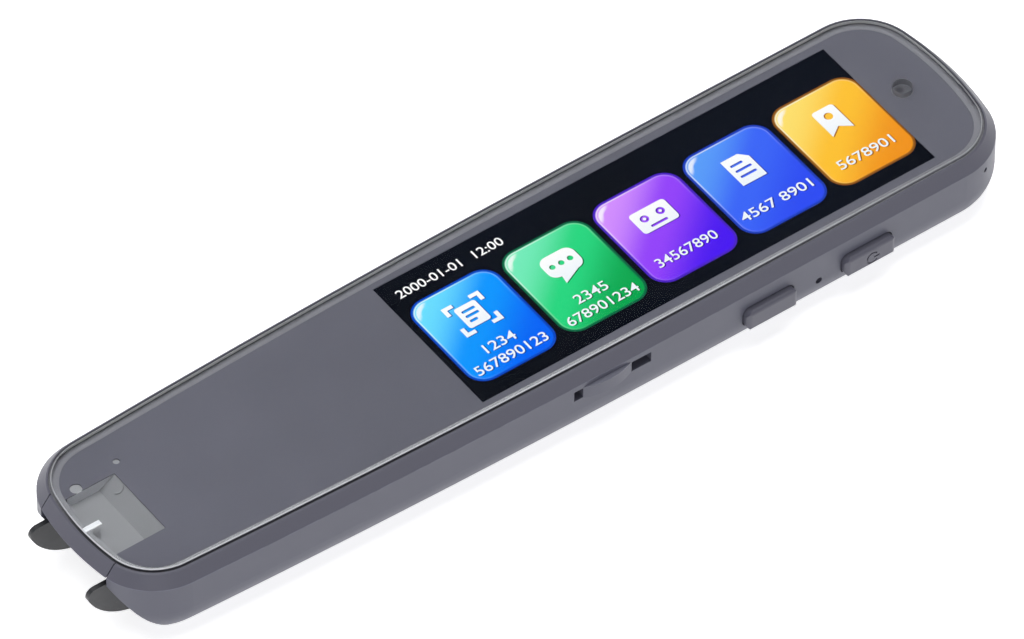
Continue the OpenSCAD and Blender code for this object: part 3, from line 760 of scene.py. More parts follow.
@dataclass(frozen=True)
class Coating(Finish):
    """A plain coated, cast or moulded surface: resin, plastic, foam, foil or lens."""

    colour: Colour
    roughness: float
    patch: float
    depth: float
    contrast: float = 0.2
    metallic: float = 0.0
    stretch: Triple = (1.0, 1.0, 1.0)
    span: Pair = (0.25, 0.75)
    uneven: float = 0.15
    strength: float = 0.5

    def shader(self, g: Graph) -> Socket:
        """Adds the patchy surface.

        Args:
            g: the material.

        Returns:
            The shader.
        """
        patch = g.noise(self.patch, 3.0, self.stretch)
        colour = g.tint(patch.between(*self.span), self.colour, 1 - self.contrast)
        rough = self.roughness + patch.swing(self.uneven)
        normal = g.bump(patch, self.depth, self.strength)
        return g.surface(colour, rough, normal, Metallic=self.metallic)


@dataclass(frozen=True)
class Metal(Coating):
    """Plated or coated metal with fine drawn lines along one axis."""

    roughness: float = 0.3
    patch: float = 0.12
    depth: float = 0.003
    metallic: float = 1.0
    stretch: Triple = (0.05, 1.0, 1.0)
    span: Pair = (0.3, 0.7)
    uneven: float = 0.2
    strength: float = 0.4


@dataclass(frozen=True)
class SolderedBoard(Finish):
    """Circuit laminate with a grid of traces under its lacquer."""

    lacquer: Colour
    trace: Colour
    roughness: float = 0.38
    bend: Pair = (7.0, 6.0)
    line_counts: Pair = (6.0, 5.0)
    pad_pitch: float = 1.6

    def shader(self, g: Graph) -> Socket:
        """Adds the lacquer, the traces and the pads.

        Args:
            g: the material.

        Returns:
            The shader.
        """
        x, y, _ = g.axes()
        bend = g.noise(self.bend[0], 0.0).swing(self.bend[1])
        along = ((y + bend) * self.line_counts[0]).sine().between(0.55, 0.8)
        across = ((x + bend) * self.line_counts[1]).sine().between(0.8, 0.95)
        pads = g.cells(self.pad_pitch).between(0.22, 0.16)
        traces = along.larger(across).larger(pads)
        rough = self.roughness + g.noise(0.8).swing(0.15)
        colour = g.mix(traces, self.lacquer, self.trace)
        return g.surface(colour, rough, g.bump(traces, 0.02, 0.5))


TILE_COLOURS = tuple(
    tuple(linear(*tone) for tone in row)
    for row in zip(
        ((110, 226, 255), (10, 150, 255), (0, 98, 246), (6, 68, 192), (0, 78, 186)),
        ((120, 238, 190), (40, 214, 128), (6, 164, 76), (10, 100, 66), (4, 112, 58)),
        ((214, 146, 255), (148, 68, 250), (72, 22, 240), (72, 34, 192), (64, 20, 168)),
        ((92, 160, 250), (60, 102, 248), (46, 76, 242), (30, 60, 182), (24, 44, 172)),
        ((255, 226, 112), (255, 194, 52), (242, 148, 28), (140, 84, 28), (176, 96, 8)),
    )
)

# height of the parting line, and the reach and strength of the painted highlight along its crease
PARTING = (9.85, 0.07, 0.55)
SHELL = MouldedPlastic("shell_plastic", linear(99, 100, 114), parting=PARTING)
RING = MouldedPlastic("ring_plastic", linear(96, 96, 109), parting=PARTING)
KEY = MouldedPlastic("key_plastic", linear(95, 95, 108), 0.38)
# the hood's far wall is painted lighter: painted light where it lies in shade
HOOD = MouldedPlastic("hood_plastic", linear(127, 128, 132), 0.55, 0.2, mottle=0.1, painted_light_y=5.650)
SMOKE = SmokedPlastic("smoked_plastic", linear(66, 67, 70))
PANE = ClearPane("cover_pane")
CHIN_PANE = ClearPane("chin_pane", (0.93, 0.95, 0.96, 1.0), 0.02)
TOUCH = ThinFilm("touch_laminate", linear(60, 64, 72))
# painted light on the inner faces of the glass's edge, seen through the glass, where little light
# reaches
INNER_PAINTED_LIGHT = linear(205, 206, 209)
# the glass's side wall: painted shade of the groove at the near side and nose, paler towards the
# tail and far side
PANE_WALL = PaneEdge("pane_wall", linear(46, 46, 56), linear(122, 123, 130), INNER_PAINTED_LIGHT)
# the glass's bevel: a painted highlight line, bright at the near side and nose, dimmer towards
# the tail and far side
PANE_BEVEL = PaneEdge("pane_bevel", linear(222, 224, 229), linear(160, 162, 166), INNER_PAINTED_LIGHT, 0.15)
PORT_GREY = linear(148, 149, 156)
PORT_WALL = PaneEdge("port_wall", PORT_GREY, PORT_GREY, linear(140, 141, 148))
# the bead in the gap round the glass: painted dark as the gap's shade at the near side and nose,
# paler towards the tail and far side
BEAD = PaneEdge("bead_painted_shade", linear(34, 34, 42), linear(118, 119, 124), linear(60, 60, 66), 0.6)
# gasket: lighter at the near side and nose, darker towards the tail and far side
GASKET_GREY = linear(126, 127, 131)
GASKET = PaneEdge("gasket_rubber", GASKET_GREY, linear(103, 103, 110), GASKET_GREY, 0.7)
# the second colour is the painted shade of the sound hole
PORT = PortCloth("port_cloth", linear(119, 120, 127), linear(84, 85, 91))
FILM = PrintedInk("film_ink", linear(87, 87, 96))
MARK = PrintedInk("mark_ink", linear(206, 207, 211), 0.4)
SCREEN = DarkScreen("screen_ground", linear(5, 10, 22), 10.5)
DARK_SCREW = Metal("screw_steel", linear(70, 71, 76), 0.36, stretch=(1.0, 1.0, 0.1))
STEEL = Metal("plated_steel", linear(176, 178, 182))
CLOTH_WIRE = Metal("mesh_wire", linear(58, 60, 66), 0.42, stretch=(1.0, 1.0, 1.0))
BOARD = SolderedBoard("board_laminate", linear(20, 74, 44), linear(38, 112, 66))
BOARD_WHITE = SolderedBoard("lamp_board_laminate", linear(214, 216, 210), linear(186, 190, 186))
FLEX = SolderedBoard("flex_laminate", linear(176, 108, 34), linear(210, 150, 66))
CHIP = Coating("chip_resin", linear(26, 27, 29), 0.48, 0.3, 0.004)
BLACK = Coating("black_plastic", linear(24, 25, 28), 0.45, 0.6, 0.004)
IVORY = Coating("ivory_plastic", linear(226, 220, 200), 0.45, 0.8, 0.004)
FOIL = Coating("battery_foil", linear(158, 162, 168), 0.3, 5.0, 0.05, 0.12, 0.85)
TAPE = Coating("black_foam", linear(30, 30, 32), 0.9, 0.25, 0.05)
GUIDE = Coating("light_guide", linear(232, 234, 238), 0.2, 3.0, 0.004, 0.05)
LAMP = Coating("lamp_lens", linear(236, 214, 120), 0.25, 0.5, 0.004, 0.1)
LENS = Coating("lens_glass", linear(12, 14, 24), 0.08, 2.0, 0.001, 0.3)
WIRE = Coating("wire_sleeve", linear(176, 30, 26), 0.45, 0.8, 0.006)

CAD_FINISHES = {
    SHELL: "lower_housing",
    RING: "upper_frame nose_insert",
    KEY: "home_key",
    HOOD: "scan_hood",
    SMOKE: "tip_trigger",
    CHIN_PANE: "scan_window",
    FILM: "bezel_film",
    MARK: "aiming_mark",
    SCREEN: "display_panel",
    DARK_SCREW: "housing_screws board_screws",
    STEEL: "backlight_tray processor_shield wireless_shield key_bracket usb_shell antenna_strip",
    CLOTH_WIRE: "speaker_mesh",
    PORT: "front_mesh",
    BOARD: "main_board battery_protection scan_board key_board",
    BOARD_WHITE: "led_board",
    FLEX: "display_flex camera_flex",
    CHIP: "board_chips",
    BLACK: "camera_module tip_switch power_switch home_switch speaker_box usb_tongue "
    "side_microphone front_microphone",
    IVORY: "board_connectors",
    FOIL: "battery",
    TAPE: "battery_tape speaker_gasket microphone_boot front_microphone_boot",
    GASKET: "glass_gasket",
    GUIDE: "light_guide",
    LAMP: "scan_leds",
    LENS: "camera_lens",
    WIRE: "battery_leads",
}


# ---------------------------------------------------------------- mesh helpers


class Body(Enum):
    """The bodies that the pieces made here ride on."""

    HOUSING = "housing"
    POWER = "power_key"


def seat(piece: Piece, finish: Finish, body: Body) -> Piece:
    """Gives a piece its material and its body, and reports it.

    Args:
        piece: the piece.
        finish: its finish.
        body: the body that it rides on.

    Returns:
        The piece.
    """
    piece.data.materials.clear()
    piece.data.materials.append(finish.build())
    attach(piece, body.value)
    LOG.info("piece %s: %d faces on %s", piece.name, len(piece.data.polygons), body.value)
    return piece


def new_piece(name: str, data: bpy.types.ID) -> Piece:
    """Puts something into the scene at the origin.

    Args:
        name: the object's name.
        data: its mesh, text, lamp or camera.

    Returns:
        The object.
    """
    piece = bpy.data.objects.new(name, data)
    bpy.context.scene.collection.objects.link(piece)
    return piece


def worked_out(maker: Piece) -> Mesh:
    """What an object's modifiers or its text make, as a plain mesh."""
    ready = maker.evaluated_get(bpy.context.evaluated_depsgraph_get())
    return bpy.data.meshes.new_from_object(ready)


def settle(piece: Piece) -> None:
    """Runs a piece's modifiers once and keeps the plain mesh that they make.

    Args:
        piece: the piece, which has no modifier afterwards.
    """
    mesh = worked_out(piece)
    piece.modifiers.clear()
    piece.data = mesh


def kept_mesh(name: str, shape: Shape) -> Mesh:
    """Turns a mesh in the making into a plain mesh, and frees it.

    Args:
        name: the plain mesh's name.
        shape: the mesh in the making.

    Returns:
        The plain mesh.
    """
    mesh = bpy.data.meshes.new(name)
    shape.to_mesh(mesh)
    shape.free()
    return mesh


def welded_copy(node: str, name: str, lift: Triple = (0.0, 0.0, 0.0)) -> Piece:
    """Copies a CAD node as one closed skin, with its smooth normals, and moves one level of it.

    Args:
        node: the CAD node.
        name: the new piece's name.
        lift: a height in millimetres, how near to it a point has to be, and how far
            such points are moved up.

    Returns:
        The new piece.
    """
    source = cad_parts[node].data
    points = np.zeros(len(source.vertices) * 3)
    source.vertices.foreach_get("co", points)
    points = points.reshape(-1, 3)
    corners = np.zeros(len(source.loops), np.int64)
    source.loops.foreach_get("vertex_index", corners)
    normals = np.array([n.vector for n in source.corner_normals]).reshape(-1, 3, 3)
    unique, back = np.unique(np.round(points / WELD), axis=0, return_inverse=True)
    welded = np.zeros((len(unique), 3))
    welded[back.ravel()] = points
    faces = back.ravel()[corners].reshape(-1, 3)
    whole = np.all(faces != np.roll(faces, 1, axis=1), axis=1)
    height, reach, rise = (value * MM for value in lift)
    welded[np.abs(welded[:, 2] - height) < reach, 2] += rise
    mesh = bpy.data.meshes.new(name)
    mesh.from_pydata(welded.tolist(), [], faces[whole].tolist())
    mesh.shade_smooth()
    mesh.normals_split_custom_set(normals[whole].reshape(-1, 3).tolist())
    return new_piece(name, mesh)


def arc(cx: float, cy: float, radius: float, start: float, end: float, steps: int) -> Loop:
    """Points along an arc.

    Args:
        cx: the centre's x.
        cy: the centre's y.
        radius: its radius.
        start: its first angle, in degrees.
        end: its last angle.
        steps: how many chords it has.

    Returns:
        The points.
    """
    angles = [math.radians(start + (end - start) * i / steps) for i in range(steps + 1)]
    return [(cx + radius * math.cos(a), cy + radius * math.sin(a)) for a in angles]


def round_box(cx: float, cy: float, w: float, h: float, r: float, steps: int = 6) -> Loop:
    """A rectangle's outline with rounded corners, counter-clockwise.

    Args:
        cx: its middle's x.
        cy: its middle's y.
        w: its width.
        h: its height.
        r: its corners' radius.
        steps: how many chords each corner has.

    Returns:
        The points.
    """
    x, y = w / 2 - r, h / 2 - r
    return [
        point
        for sx, sy, start in ((1, 1, 0), (-1, 1, 90), (-1, -1, 180), (1, -1, 270))
        for point in arc(cx + sx * x, cy + sy * y, r, start, start + 90, steps)
    ]


def disc(cx: float, cy: float, r: float, steps: int = 20) -> Loop:
    """A circle's outline, counter-clockwise."""
    return arc(cx, cy, r, 0, 360, steps)[:-1]


def moved(loops: list[Loop], dx: float, dy: float) -> list[Loop]:
    """The same outlines moved by dx and dy."""
    return [[(x + dx, y + dy) for x, y in loop] for loop in loops]


def add_plate(shape: Shape, loops: list[Loop], low: float, high: float) -> None:
    """Adds a flat plate with holes to a mesh.

    Args:
        shape: the mesh.
        loops: the outer outline first and then its holes, in millimetres.
        low: the height of its underside.
        high: the height of its top.
    """
    flat = [point for loop in loops for point in loop]
    triangles = tessellate_polygon([[Vector((x, y, 0)) for x, y in loop] for loop in loops])
    under, over = (
        [shape.verts.new((x * MM, y * MM, z * MM)) for x, y in flat] for z in (low, high)
    )
    for a, b, c in triangles:
        (ax, ay), (bx, by), (cx, cy) = flat[a], flat[b], flat[c]
        turn = (bx - ax) * (cy - ay) - (by - ay) * (cx - ax)
        if abs(turn) < 1e-12:
            continue
        if turn < 0:
            b, c = c, b
        shape.faces.new((over[a], over[b], over[c]))
        shape.faces.new((under[a], under[c], under[b]))
    first = 0
    for loop in loops:
        for i in range(len(loop)):
            a, b = first + i, first + (i + 1) % len(loop)
            shape.faces.new((under[a], under[b], over[b], over[a]))
        first += len(loop)


def plates_piece(name: str, plates: list[list[Loop]], low: float, high: float) -> Piece:
    """Makes one piece of flat plates.

    Args:
        name: the piece's name.
        plates: each plate's outlines.
        low: the height of the undersides, in millimetres.
        high: the height of the tops.

    Returns:
        The piece.
    """
    shape = bmesh.new()
    for loops in plates:
        add_plate(shape, loops, low, high)
    bmesh.ops.recalc_face_normals(shape, faces=shape.faces)
    return new_piece(name, kept_mesh(name, shape))


# ---------------------------------------------------------------- geometry nodes


class Form(Tree):
    """A Geometry Nodes tree in the making, with named inputs."""

    def __init__(self, name: str, counts: dict[str, float], lengths: dict[str, float]) -> None:
        """Makes the tree.

        Args:
            name: its name.
            counts: names and values of plain inputs. A whole number makes a whole-number one.
            lengths: names and values of lengths, in millimetres.
        """
        super().__init__(bpy.data.node_groups.new(name, "GeometryNodeTree"))
        self.sizes = counts | {label: value * MM for label, value in lengths.items()}
        sides = self.tree.interface
        for label, value in self.sizes.items():
            kind = "NodeSocketInt" if isinstance(value, int) else "NodeSocketFloat"
            sides.new_socket(label, in_out="INPUT", socket_type=kind)
        sides.new_socket("Finish", in_out="INPUT", socket_type="NodeSocketMaterial")
        sides.new_socket("Geometry", in_out="OUTPUT", socket_type="NodeSocketGeometry")
        self.given = self.node("NodeGroupInput").outputs

    def step(self, kind: str, values: Values | None = None, **settings: object) -> Socket:
        """Adds a geometry node, named without its prefix, and returns its first output."""
        return self.out("GeometryNode" + kind, values, **settings)

    def point(self, x: object = 0.0, y: object = 0.0, z: object = 0.0) -> Socket:
        """A vector of three numbers or sockets."""
        return self.out("ShaderNodeCombineXYZ", {0: x, 1: y, 2: z})

    def make(self, name: str, shape: Socket, finish: Finish) -> Piece:
        """Ends the tree, runs it once and keeps the plain mesh.

        Args:
            name: the piece's name.
            shape: the geometry that the tree made.
            finish: the piece's finish.

        Returns:
            The piece, with no modifier.
        """
        real = self.step("RealizeInstances", {0: shape})
        values = {"Geometry": real, "Material": self.given["Finish"]}
        self.node("NodeGroupOutput", {0: self.step("SetMaterial", values)})
        piece = new_piece(name, bpy.data.meshes.new(name + "_seed"))
        modifier = piece.modifiers.new("form", "NODES")
        modifier.node_group = self.tree
        keys = {item.name: item.identifier for item in self.tree.interface.items_tree}
        for label, value in (self.sizes | {"Finish": finish.build()}).items():
            modifier[keys[label]] = value
        settle(piece)
        return piece


# ---------------------------------------------------------------- sub-assemblies


@dataclass
class CadFinishes:
    """Gives every CAD node that stays its own material."""

    finishes: dict[Finish, str] = field(default_factory=lambda: CAD_FINISHES)

    def build(self) -> None:
        """Dresses the nodes."""
        for finish, nodes in self.finishes.items():
            for name in nodes.split():
                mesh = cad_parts[name].data
                mesh.materials.clear()
                mesh.materials.append(finish.build())
                LOG.info("node %s: %s", name, finish.name)


class PanePart(Enum):
    """The parts of the cover glass, by the number of their material."""

    FACE = 0
    WALL = 1
    BEVEL = 2
    PORT = 3


@dataclass
class CoverPane:
    """The cover glass, its soft bead and the touch film, with air under glass and film."""

    glass_foot: float = 10.9
    touch_foot: float = 10.5
    foot_reach: float = 0.005
    air: float = 0.02
    picture_gap: float = 0.06
    wall_below: float = 0.5
    bevel_below: float = 0.86
    port: Pair = (61.1, 0.0)
    port_reach: float = 2.0
    bead: float = 0.18
    bead_clear: float = 0.008
    upright: float = 0.01

    def build(self) -> None:
        """Builds the glass, the bead and the film."""
        lift = (self.glass_foot, self.foot_reach, self.air)
        glass = welded_copy("cover_glass", "cover_pane", lift)
        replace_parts(seat(glass, PANE, Body.HOUSING), "cover_glass")
        for finish in (PANE_WALL, PANE_BEVEL, PORT_WALL):
            glass.data.materials.append(finish.build())
        for face in glass.data.polygons:
            face.material_index = self._part(face).value
        self._bead()
        lift = (self.touch_foot, self.foot_reach, self.picture_gap)
        touch = welded_copy("touch_sensor", "touch_pane", lift)
        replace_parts(seat(touch, TOUCH, Body.HOUSING), "touch_sensor")

    def _part(self, face: bpy.types.MeshPolygon) -> PanePart:
        """Says which part of the glass a face belongs to.

        Args:
            face: the face.

        Returns:
            The part.
        """
        rise = face.normal.z
        if self._is_port(face.center):
            return PanePart.PORT if abs(rise) < self.bevel_below else PanePart.FACE
        if abs(rise) < self.wall_below:
            return PanePart.WALL
        return PanePart.BEVEL if 0 < rise < self.bevel_below else PanePart.FACE

    def _is_port(self, spot: Vector) -> bool:
        """Says whether a point of the glass is at its round port."""
        return (spot.xy / MM - Vector(self.port)).length < self.port_reach

    def _bead(self) -> None:
        """Builds the soft bead that fills the gap between the glass and the ring, whose finish
        paints the gap's shade.
        """
        bead = welded_copy("cover_glass", "glass_bead")
        shape = bmesh.new()
        shape.from_mesh(bead.data)
        other = [
            face
            for face in shape.faces
            if abs(face.normal.z) > self.upright or self._is_port(face.calc_center_median())
        ]
        bmesh.ops.delete(shape, geom=other, context="FACES")
        shape.normal_update()
        for corner in shape.verts:
            corner.co += corner.normal * self.bead_clear * MM
        bead.data = kept_mesh("glass_bead_strip", shape)
        wall = bead.modifiers.new("wall", "SOLIDIFY")
        wall.thickness = self.bead * MM
        wall.offset = 1.0
        wall.use_even_offset = True
        settle(bead)
        seat(bead, BEAD, Body.HOUSING)


@dataclass(frozen=True)
class Number:
    """A line of plain digits of a given width, whose foot lies at a level."""

    digits: str
    width: float
    level: float
    curve_steps: int = 4
    boldness: float = 0.006

    def add_to(self, shape: Shape, place: Triple, tall: float, thick: float) -> None:
        """Adds the digits to a mesh as thin plates.

        Args:
            shape: the mesh.
            place: the lower left corner, in millimetres.
            tall: the height of a digit.
            thick: how thick the plates are.
        """
        words = bpy.data.curves.new("digits", "FONT")
        words.body = self.digits
        words.resolution_u = self.curve_steps
        words.extrude = 0.5
        words.offset = self.boldness
        holder = new_piece("digits_maker", words)
        mesh = worked_out(holder)
        bpy.data.objects.remove(holder)
        spots = np.array([v.co[:] for v in mesh.vertices])
        low, high = spots.min(axis=0), spots.max(axis=0)
        size = Vector((self.width, tall, thick))
        grow = Matrix.Diagonal((*(size[k] / (high[k] - low[k]) for k in range(3)), 1.0))
        mesh.transform(grow @ Matrix.Translation(-Vector(low)))
        mesh.transform(Matrix.Scale(MM, 4) @ Matrix.Translation(Vector(place)))
        shape.from_mesh(mesh)
        bpy.data.meshes.remove(mesh)


@dataclass
class ScreenPicture:
    """What the screen shows: a clock and a row of glossy tiles with signs and plain digits."""

    top: float = 10.5
    layer: float = 0.008
    first_x: float = -6.52
    pitch: float = 14.334
    middle_y: float = -1.02
    tile_w: float = 13.49
    tile_h: float = 16.47
    corner: float = 2.73
    corner_steps: int = 10
    sign_y: float = 2.35
    sign_fall: Pair = (4.0, -1.5)
    clock: Number = Number("2000-01-01  12:00", 16.4, 8.75)
    clock_x: float = -12.4
    clock_h: float = 1.45
    colours: tuple[tuple[Colour, ...], ...] = TILE_COLOURS
    numbers: tuple[tuple[Number, ...], ...] = (
        (Number("1234", 4.7, -4.3), Number("567890123", 11.0, -6.85)),
        (Number("2345", 4.9, -4.3), Number("678901234", 11.0, -6.85)),
        (Number("34567890", 9.4, -5.4),),
        (Number("4567 8901", 11.1, -5.4),),
        (Number("5678901", 8.7, -5.4),),
    )
    digit_h: float = 1.62
    shade_shift: float = 0.13
    shade_drop: float = 0.7
    shade_thick: float = 0.5

    def build(self) -> None:
        """Builds the picture, layer on layer."""
        self._tiles()
        signs = [
            moved(plate, self.first_x + i * self.pitch, self.middle_y + self.sign_y)
            for i, sign in enumerate(self._signs())
            for plate in sign
        ]
        shift = self.shade_shift
        behind = [moved(plate, shift, -shift) for plate in signs]
        glow = GlowingPrint("sign_glow", FULL_LIGHT, linear(240, 246, 252), self.sign_fall)
        tint = SignShade("sign_shade", self.colours[-1], self.first_x, self.pitch)
        low = self.top + 3 * self.layer
        shade_low = low - self.shade_drop * self.layer
        shade_thick = self.shade_thick * self.layer
        for name, plates, foot, thick, finish in (
            ("screen_signs", signs, low, self.layer, glow),
            ("screen_sign_shades", behind, shade_low, shade_thick, tint),
        ):
            piece = plates_piece(name, plates, foot, foot + thick)
            seat(piece, finish, Body.HOUSING)
        self._digits("screen_digits", glow, low, self.layer, 0.0)
        self._digits("screen_digit_shades", tint, shade_low, shade_thick, shift)

    def _tiles(self) -> None:
        """Builds the row of tiles."""
        half_w, half_h = self.tile_w / 2, self.tile_h / 2
        place = (self.first_x, self.pitch, self.middle_y)
        finish = GlowingTiles("tile_glow", self.colours[:-1], *place, half_w, half_h, self.corner)
        labels = ("first_x", "middle_y", "pitch", "tile_w", "tile_h", "corner", "layer")
        lengths = {label: getattr(self, label) for label in labels}
        lengths["level"] = self.top + self.layer
        form = Form("tile_row", {"count": len(self.numbers)}, lengths)
        given = form.given
        sides = {"Width": given["tile_w"], "Height": given["tile_h"]}
        quad = form.step("CurvePrimitiveQuadrilateral", sides)
        bends = {"Curve": quad, "Radius": given["corner"], "Count": self.corner_steps}
        face = form.step("FillCurve", {"Curve": form.step("FilletCurve", bends, mode="POLY")})
        rise = {
            "Mesh": face,
            "Offset": form.point(z=1.0),
            "Offset Scale": given["layer"],
            "Individual": False,
        }
        both = form.node("GeometryNodeJoinGeometry")
        for part in (form.step("ExtrudeMesh", rise), form.step("FlipFaces", {0: face})):
            form.tree.links.new(part, both.inputs[0])
        closed = form.step("MergeByDistance", {"Geometry": both.outputs[0], "Distance": WELD})
        start = form.point(given["first_x"], given["middle_y"], given["level"])
        places = {"Count": given["count"], "Start Location": start}
        row = form.step("MeshLine", places | {"Offset": form.point(given["pitch"])})
        tiles = form.step("InstanceOnPoints", {"Points": row, "Instance": closed})
        seat(form.make("screen_tiles", tiles, finish), finish, Body.HOUSING)

    @staticmethod
    def _signs() -> list[list[list[Loop]]]:
        """Each tile's sign, about its own middle.

        Returns:
            For each tile its plates, and for each plate its outlines.
        """
        bracket = [(-2.9, 2.9), (-2.9, 1.3), (-2.3, 1.3), (-2.3, 2.3), (-1.3, 2.3), (-1.3, 2.9)]
        brackets = [
            [[(sx * x, sy * y) for x, y in (bracket if sx * sy < 0 else bracket[::-1])]]
            for sx, sy in ((1, 1), (-1, 1), (-1, -1), (1, -1))
        ]
        bars = ((0, 0.9, 2.0), (0, 0, 2.0), (-0.4, -0.9, 1.2))
        page = [round_box(0, 0, 3.3, 3.9, 0.4)]
        page += [round_box(x, y, w, 0.45, 0.2) for x, y, w in bars]
        bubble = round_box(0, 0.5, 5.2, 3.9, 1.3, 8)
        tail_at = min(range(len(bubble)), key=lambda i: abs(bubble[i][0] + 1.35) + bubble[i][1])
        bubble = bubble[: tail_at + 1] + [(-1.5, -2.75)] + bubble[tail_at + 1 :]
        talk = [bubble] + [disc(x, 0.5, 0.42, 16) for x in (-1.4, 0.0, 1.4)]
        cassette = [
            round_box(0, 0, 5.6, 3.9, 0.55),
            disc(-1.25, 0.35, 0.62),
            disc(1.25, 0.35, 0.62),
            round_box(0, -1.2, 2.6, 0.4, 0.18),
        ]
        hubs = [[disc(x, 0.35, 0.24, 12)] for x in (-1.25, 1.25)]
        bars = ((-0.35, 1.1, 1.9), (0, 0, 2.5), (0, -1.1, 2.5))
        note = [[(-1.9, -2.5), (1.9, -2.5), (1.9, 1.4), (0.8, 2.5), (-1.9, 2.5)]]
        note += [round_box(x, y, w, 0.4, 0.18) for x, y, w in bars]
        ribbon = [
            [(-1.7, -2.4), (0.0, -1.2), (1.7, -2.4)]
            + arc(1.2, 2.0, 0.5, 0, 90, 5)
            + arc(-1.2, 2.0, 0.5, 90, 180, 5),
            disc(0.0, 0.9, 0.62),
        ]
        return [[*brackets, page], [talk], [cassette, *hubs], [note], [ribbon]]

    def _digits(self, name: str, finish: Finish, low: float, thick: float, shift: float) -> None:
        """Builds the lines of plain digits as one piece.

        Args:
            name: the piece's name.
            finish: its finish.
            low: the height of its underside, in millimetres.
            thick: its thickness.
            shift: how far it lies to the right and down. Only at 0 is the clock in it.
        """
        shape = bmesh.new()
        for i, lines in enumerate(self.numbers):
            for line in lines:
                x = self.first_x + i * self.pitch - line.width / 2 + shift
                place = (x, self.middle_y + line.level - shift, low)
                line.add_to(shape, place, self.digit_h, thick)
        if not shift:
            self.clock.add_to(shape, (self.clock_x, self.clock.level, low), self.clock_h, thick)
        bmesh.ops.remove_doubles(shape, verts=shape.verts, dist=WELD)
        bmesh.ops.recalc_face_normals(shape, faces=shape.faces)
        seat(new_piece(name, kept_mesh(name, shape)), finish, Body.HOUSING)


@dataclass
class TipSprings:
    """The two coil springs behind the scanning tip, which shorten as it is pressed."""

    first: Triple = (-47.03, -4.2, 4.8)
    apart: float = 8.4
    length: float = 2.96
    radius: float = 0.95
    wire: float = 0.15
    turns: float = 5.0
    turn_steps: int = 24
    wire_steps: int = 10
    wall_x: float = -43.9
    travel: float = 0.7

    def build(self) -> None:
        """Builds the springs."""
        lengths = {label: getattr(self, label) for label in ("radius", "wire", "length", "apart")}
        form = Form("tip_coil_pair", {"turns": self.turns}, lengths)
        given = form.given
        spiral = {
            "Resolution": self.turn_steps,
            "Rotations": given["turns"],
            "Start Radius": given["radius"],
            "End Radius": given["radius"],
            "Height": given["length"],
        }
        coil = form.step("CurveSpiral", spiral)
        round_wire = {"Resolution": self.wire_steps, "Radius": given["wire"]}
        profile = form.step("CurvePrimitiveCircle", round_wire)
        sweep = {"Curve": coil, "Profile Curve": profile, "Fill Caps": True}
        tube = form.step("CurveToMesh", sweep)
        lying = form.step("Transform", {"Geometry": tube, "Rotation": (0.0, math.pi / 2, 0.0)})
        x, y, z = (value * MM for value in self.first)
        offset = form.point(y=given["apart"])
        pair = form.step("MeshLine", {"Count": 2, "Start Location": (x, y, z), "Offset": offset})
        both = form.step("InstanceOnPoints", {"Points": pair, "Instance": lying})
        piece = form.make("tip_coils", both, STEEL)
        seat(piece, STEEL, Body.HOUSING)
        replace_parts(piece, "tip_springs")
        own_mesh(piece)


@dataclass
class PowerKey:
    """The power key, with its open ring and bar sunk into its face."""

    middle: Pair = (43.4, 5.6)
    radius: float = 0.86
    line: float = 0.22
    opening: float = 38.0
    ring_steps: int = 40
    bar: Pair = (0.2, 1.15)
    face_y: float = -17.1
    depth: float = 0.13

    def build(self) -> None:
        """Builds the key and cuts the sign."""
        cap = welded_copy("power_key", "power_cap")
        cutter = self._cutter()
        cut = cap.modifiers.new("sign", "BOOLEAN")
        cut.operation = "DIFFERENCE"
        cut.solver = "EXACT"
        cut.object = cutter
        settle(cap)
        bpy.data.objects.remove(cutter)
        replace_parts(seat(cap, KEY, Body.POWER), "power_key")

    def _cutter(self) -> Piece:
        """Makes the sign's two strokes as a solid.

        Returns:
            The solid, which reaches through the key's face.
        """
        half = self.line / 2
        start, end = self.opening, 360 - self.opening
        ring = arc(0, 0, self.radius + half, start, end, self.ring_steps)
        ring += arc(0, 0, self.radius - half, end, start, self.ring_steps)
        left, right = self.bar
        stroke = round_box((left + right) / 2, 0, right - left, self.line, half * 0.9, 4)
        cutter = plates_piece("power_sign_cutter", [[ring], [stroke]], -self.depth, self.depth)
        turn = Matrix.Rotation(math.radians(90), 4, "X")
        x, z = self.middle
        cutter.data.transform(Matrix.Translation(Vector((x, self.face_y, z)) * MM) @ turn)
        return cutter


